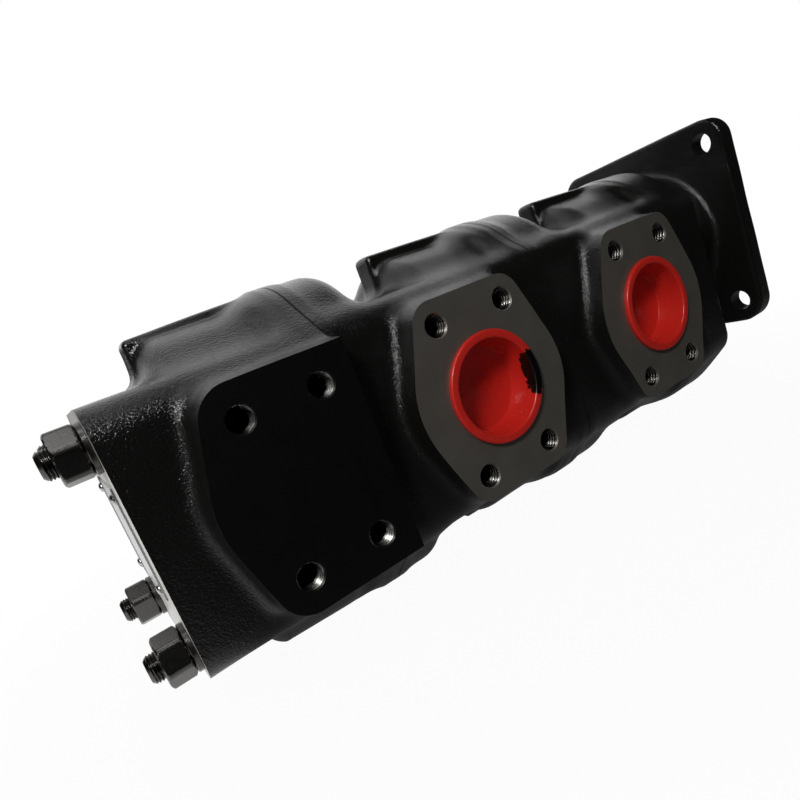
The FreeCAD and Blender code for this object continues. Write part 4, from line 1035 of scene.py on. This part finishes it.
def makeNameplate():
    face = pump["rearFace"]
    corner = plate["corner"]
    sideY, sideZ = plate["width"] / 2 - corner, plate["height"] / 2 - corner
    outline = []
    for quarter, (signY, signZ) in enumerate(((1, 1), (-1, 1), (-1, -1), (1, -1))):
        for step in range(7):
            angle = math.pi / 2 * (quarter + step / 6)
            outline.append((signY * sideY + corner * math.cos(angle),
                            signZ * sideZ + corner * math.sin(angle)))
    count = len(outline)
    points = [(x, y, middleZ + z) for x in (face - plate["thickness"], face) for y, z in outline]
    faces = [(k, (k + 1) % count, (k + 1) % count + count, k + count) for k in range(count)]
    faces += [tuple(range(count)), tuple(range(count, 2 * count))]
    sheetMaterial = slotMaterials["bare_aluminium"]
    sheet = newObject("nameplateSheet", solidMesh("sheet", points, faces))
    sheet.data.materials.append(sheetMaterial)
    machine(sheet, screwSquare(rod(-3, 3, plate["holeRadius"], 24), face, sheetMaterial))
    finishPiece(sheet, "housing", ["nameplate"])
    head, radius = plate["headHeight"], plate["headRadius"]
    pin, end = plate["pinRadius"], plate["pinLength"]
    dome = [(-head * math.sin(a), radius * math.cos(a)) for a in np.linspace(math.pi / 2, 0, 9)]
    dome[0] = (-head, 0.0)
    screw = turned(dome + [(0, pin), (end, pin), (end, 0)], 32)
    screws = newObject("nameplateDriveScrews",
                       screwSquare(screw, face - plate["thickness"], slotMaterials["plated_steel"]))
    finishPiece(screws, "housing", ["nameplate_screws"])


makeNameplate()


# Port caps: one moulded cup for each port, lying with its rim on the machined face

caps = {"clearance": 0.3, "wall": 1.7, "floor": 1.6, "depth": 17.0, "rim": 2.8, "lip": 3.1, "edge": 1.1}


def makeCap(name, kind, centreX):
    port = ports[kind]
    cup = port["bore"] / 2 - caps["clearance"]
    rim = port["bore"] / 2 + caps["lip"]
    hollow = cup - caps["wall"]
    bottom = pump["portReach"] - caps["depth"]
    face, top = pump["portReach"], pump["portReach"] + caps["rim"]
    floor = bottom + caps["floor"]
    edge = caps["edge"]
    quarter = np.linspace(0, math.pi / 2, 7)
    # up the outside, over the rounded rim, then down the hollow to the moulding mark in its middle
    outline = [(bottom, 0.0), (bottom, cup - 1.2), (bottom + 1.0, cup - 0.2), (face, cup), (face, rim - 0.3)]
    outline += [(top - edge + edge * math.sin(a), rim - edge + edge * math.cos(a)) for a in quarter]
    outline += [(top - edge + edge * math.cos(a), hollow + 0.6 + edge - edge * math.sin(a)) for a in quarter]
    outline += [(floor + 1.6, hollow - 0.6), (floor + 0.5, hollow - 1.2), (floor, hollow - 2.6),
                (floor, 1.8), (floor + 0.4, 1.2), (floor + 0.4, 0.0)]
    mesh = turned(outline, 128, port["facing"], (centreX, 0, middleZ))
    mesh.materials.append(redPlastic)
    piece = newObject(f"moulded.{name}", mesh)
    finishPiece(piece, f"{name}_body", [name], 40)


for name, part in housings.items():
    for kind, centreX in (part["near"], part["far"]):
        if ports[kind]["bore"]:
            makeCap(f"{kind}_cap_{name.split('_')[0]}", kind, centreX)
print("bolts, nameplate and caps made")

# The other CAD nodes keep their own shape and take the material of their slot
replaced = {node for thing in scene.objects for node in thing.get("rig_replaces", [])}
for row in frame["record"]["subparts"]:
    if row["node"] not in replaced:
        mesh = frame["nodes"][row["node"]].data
        mesh.materials.clear()
        mesh.materials.append(slotMaterials[row["material_slot"]])

# The camera that was solved from the bolt patterns, for an 800 by 800 picture
view = {"eye": (-444.645, -312.779, 30.536), "right": (0.7668, -0.5413, -0.345),
        "down": (-0.4025, 0.0132, -0.9153), "focal": 604.973, "centreX": 439.101, "centreY": 422.121,
        "side": 800, "sensor": 36}


def makeCamera():
    side = view["side"]
    camera = bpy.data.cameras.new("camera")
    camera.sensor_width = view["sensor"]
    camera.lens = view["focal"] / side * view["sensor"]
    camera.shift_x = (side / 2 - view["centreX"]) / side
    camera.shift_y = (view["centreY"] - side / 2) / side
    camera.clip_start = 0.01
    right = Vector(view["right"]).normalized()
    down = Vector(view["down"]).normalized()
    turn = Matrix((right, -down, -right.cross(down))).transposed().to_4x4()
    cameraObject = newObject("camera", camera)
    cameraObject.matrix_world = Matrix.Translation(Vector(view["eye"]) * mm) @ turn
    scene.camera = cameraObject


makeCamera()


# Light: a soft box overhead on a pale floor, white behind the pump and dark all round it

middle = (-0.22, 0.0, -0.03)
boltEnds = (-0.44, -0.05, 0.0)
rearEnd = (-0.435, 0.0, -0.026)
lamps = {
    "softBoxTop": {"place": (-0.2, 0.22, 0.8), "target": middle, "size": (0.7, 0.45), "power": 0.48},
    "keyLeft": {"place": (-0.92, -0.66, 0.7), "target": middle, "size": (0.2, 0.2), "power": 7.0},
    "keyTop": {"place": (-0.35, -0.75, 0.85), "target": middle, "size": (0.1, 0.1), "power": 0.6},
    "stripLeft": {"place": (-1.05, -0.55, 0.2), "target": middle, "size": (0.06, 0.7), "power": 0.4},
    "boltTop": {"place": (-0.5, -0.15, 0.75), "target": boltEnds, "size": (0.3, 0.25), "power": 0.6},
    "rearFace": {"place": (-0.85, 0.2, 0.0), "target": rearEnd, "size": (0.1, 0.1), "power": 0.8},
}
for name, lamp in lamps.items():
    light = bpy.data.lights.new(name, "AREA")
    light.shape = "RECTANGLE"
    light.size, light.size_y = lamp["size"]
    light.energy = lamp["power"]
    thing = newObject(name, light)
    thing.location = lamp["place"]
    aim = Vector(lamp["target"]) - Vector(lamp["place"])
    thing.rotation_euler = aim.to_track_quat("-Z", "Y").to_euler()
    thing.visible_glossy = name != "rearFace"     # that lamp isn't mirrored


def addSeenRays(tree):
    # 1 for rays that show the background: the camera's, mirrored ones and those through glass
    rays = addNode(tree, "ShaderNodeLightPath").outputs
    mirrored = addNode(tree, "ShaderNodeMath", {"operation": "MAXIMUM"}, {
        0: rays["Is Glossy Ray"], 1: rays["Is Transmission Ray"]})
    return addNode(tree, "ShaderNodeMath", {"operation": "MAXIMUM"}, {0: rays["Is Camera Ray"], 1: mirrored})


def makeWorld():
    world = bpy.data.worlds.new("studio")
    scene.world = world
    world.use_nodes = True
    sky = world.node_tree
    sky.nodes.clear()
    strength = addNode(sky, "ShaderNodeMapRange", inputs={
        "Value": addSeenRays(sky), "To Min": 0.08, "To Max": 1.0})
    background = addNode(sky, "ShaderNodeBackground", inputs={
        "Color": (1.0, 1.0, 1.0, 1.0), "Strength": strength})
    addNode(sky, "ShaderNodeOutputWorld", inputs={"Surface": background})


floorHeight = -112.5


def makeFloor():
    # The floor turns to plain white away from the pump and keeps the shadow under it
    material, tree, place = startMaterial("paleFloor")
    base = addNode(tree, "ShaderNodeBsdfPrincipled", inputs={
        "Base Color": (0.3, 0.3, 0.3, 1.0), "Roughness": 0.9})
    # mirrored in the pump, it is bright only behind the pump and beside it
    spot = addNode(tree, "ShaderNodeSeparateXYZ", inputs={0: place}).outputs
    behind = addNode(tree, "ShaderNodeMapRange", inputs={
        "Value": spot["Y"], "From Min": -0.2, "From Max": -0.05, "To Min": 0.03, "To Max": 1.0})
    beside = addNode(tree, "ShaderNodeMapRange", inputs={
        "Value": spot["X"], "From Min": -0.44, "From Max": -0.41, "To Min": 1.0, "To Max": 0.12})
    mirrored = addNode(tree, "ShaderNodeMath", {"operation": "MULTIPLY"}, {0: behind, 1: beside})
    strength = addNode(tree, "ShaderNodeMapRange", inputs={
        "Value": addNode(tree, "ShaderNodeLightPath").outputs["Is Glossy Ray"],
        "To Min": 1.0, "To Max": mirrored})
    glow = addNode(tree, "ShaderNodeEmission", inputs={"Color": (1.0, 1.0, 1.0, 1.0), "Strength": strength})
    reach = addNode(tree, "ShaderNodeVectorMath", {"operation": "DISTANCE"}, {0: place, 1: middle})
    fade = addNode(tree, "ShaderNodeMapRange", inputs={
        "Value": reach.outputs["Value"], "From Min": 0.2, "From Max": 0.5, "To Min": 0.96, "To Max": 1.0})
    seen = addNode(tree, "ShaderNodeMath", {"operation": "MULTIPLY"}, {0: addSeenRays(tree), 1: fade})
    mixed = addNode(tree, "ShaderNodeMixShader", inputs={0: seen, 1: base, 2: glow})
    addNode(tree, "ShaderNodeOutputMaterial", inputs={"Surface": mixed})
    side = 9e3
    corners = [(x, y, floorHeight) for x, y in ((-side, -side), (side, -side), (side, side), (-side, side))]
    floor = newObject("floor", solidMesh("floor", corners, [(0, 1, 2, 3)]))
    floor.data.materials.append(material)


curtain = {"radius": 1350.0, "top": 1000.0, "backTop": 180.0, "back": (20, 130), "panels": 60,
           "ceilingX": (-1700, 1300), "ceilingY": (-1400.0, 450.0)}


def makeCurtain():
    # A dark curtain round the studio with a dark ceiling that is open at the back; only mirrored
    # rays see it
    material, tree, _ = startMaterial("blackCloth")
    endMaterial(tree, {"Base Color": (0.05, 0.05, 0.05, 1.0), "Roughness": 1.0, "Specular IOR Level": 0.0})
    radius = curtain["radius"]
    start, end = curtain["back"]
    points = []
    for angle in np.radians(np.linspace(0.0, 360.0, curtain["panels"] + 1)):
        top = curtain["backTop"] if start < math.degrees(angle) < end else curtain["top"]
        points += [(middle[0] / mm + radius * math.cos(angle), radius * math.sin(angle), z)
                   for z in (floorHeight, top)]
    faces = [(2 * k, 2 * k + 1, 2 * k + 3, 2 * k + 2) for k in range(curtain["panels"])]
    roof = len(points)
    (x1, x2), (y1, y2) = curtain["ceilingX"], curtain["ceilingY"]
    points += [(x, y, curtain["top"]) for x, y in ((x1, y1), (x2, y1), (x2, y2), (x1, y2))]
    faces.append(tuple(range(roof, roof + 4)))
    hanging = newObject("curtain", solidMesh("curtain", points, faces))
    hanging.data.materials.append(material)
    hanging.visible_camera = False
    hanging.visible_diffuse = False
    hanging.visible_shadow = False


makeWorld()
makeFloor()
makeCurtain()
print("camera, lamps, floor and curtain made")

scene.view_settings.view_transform = "Standard"
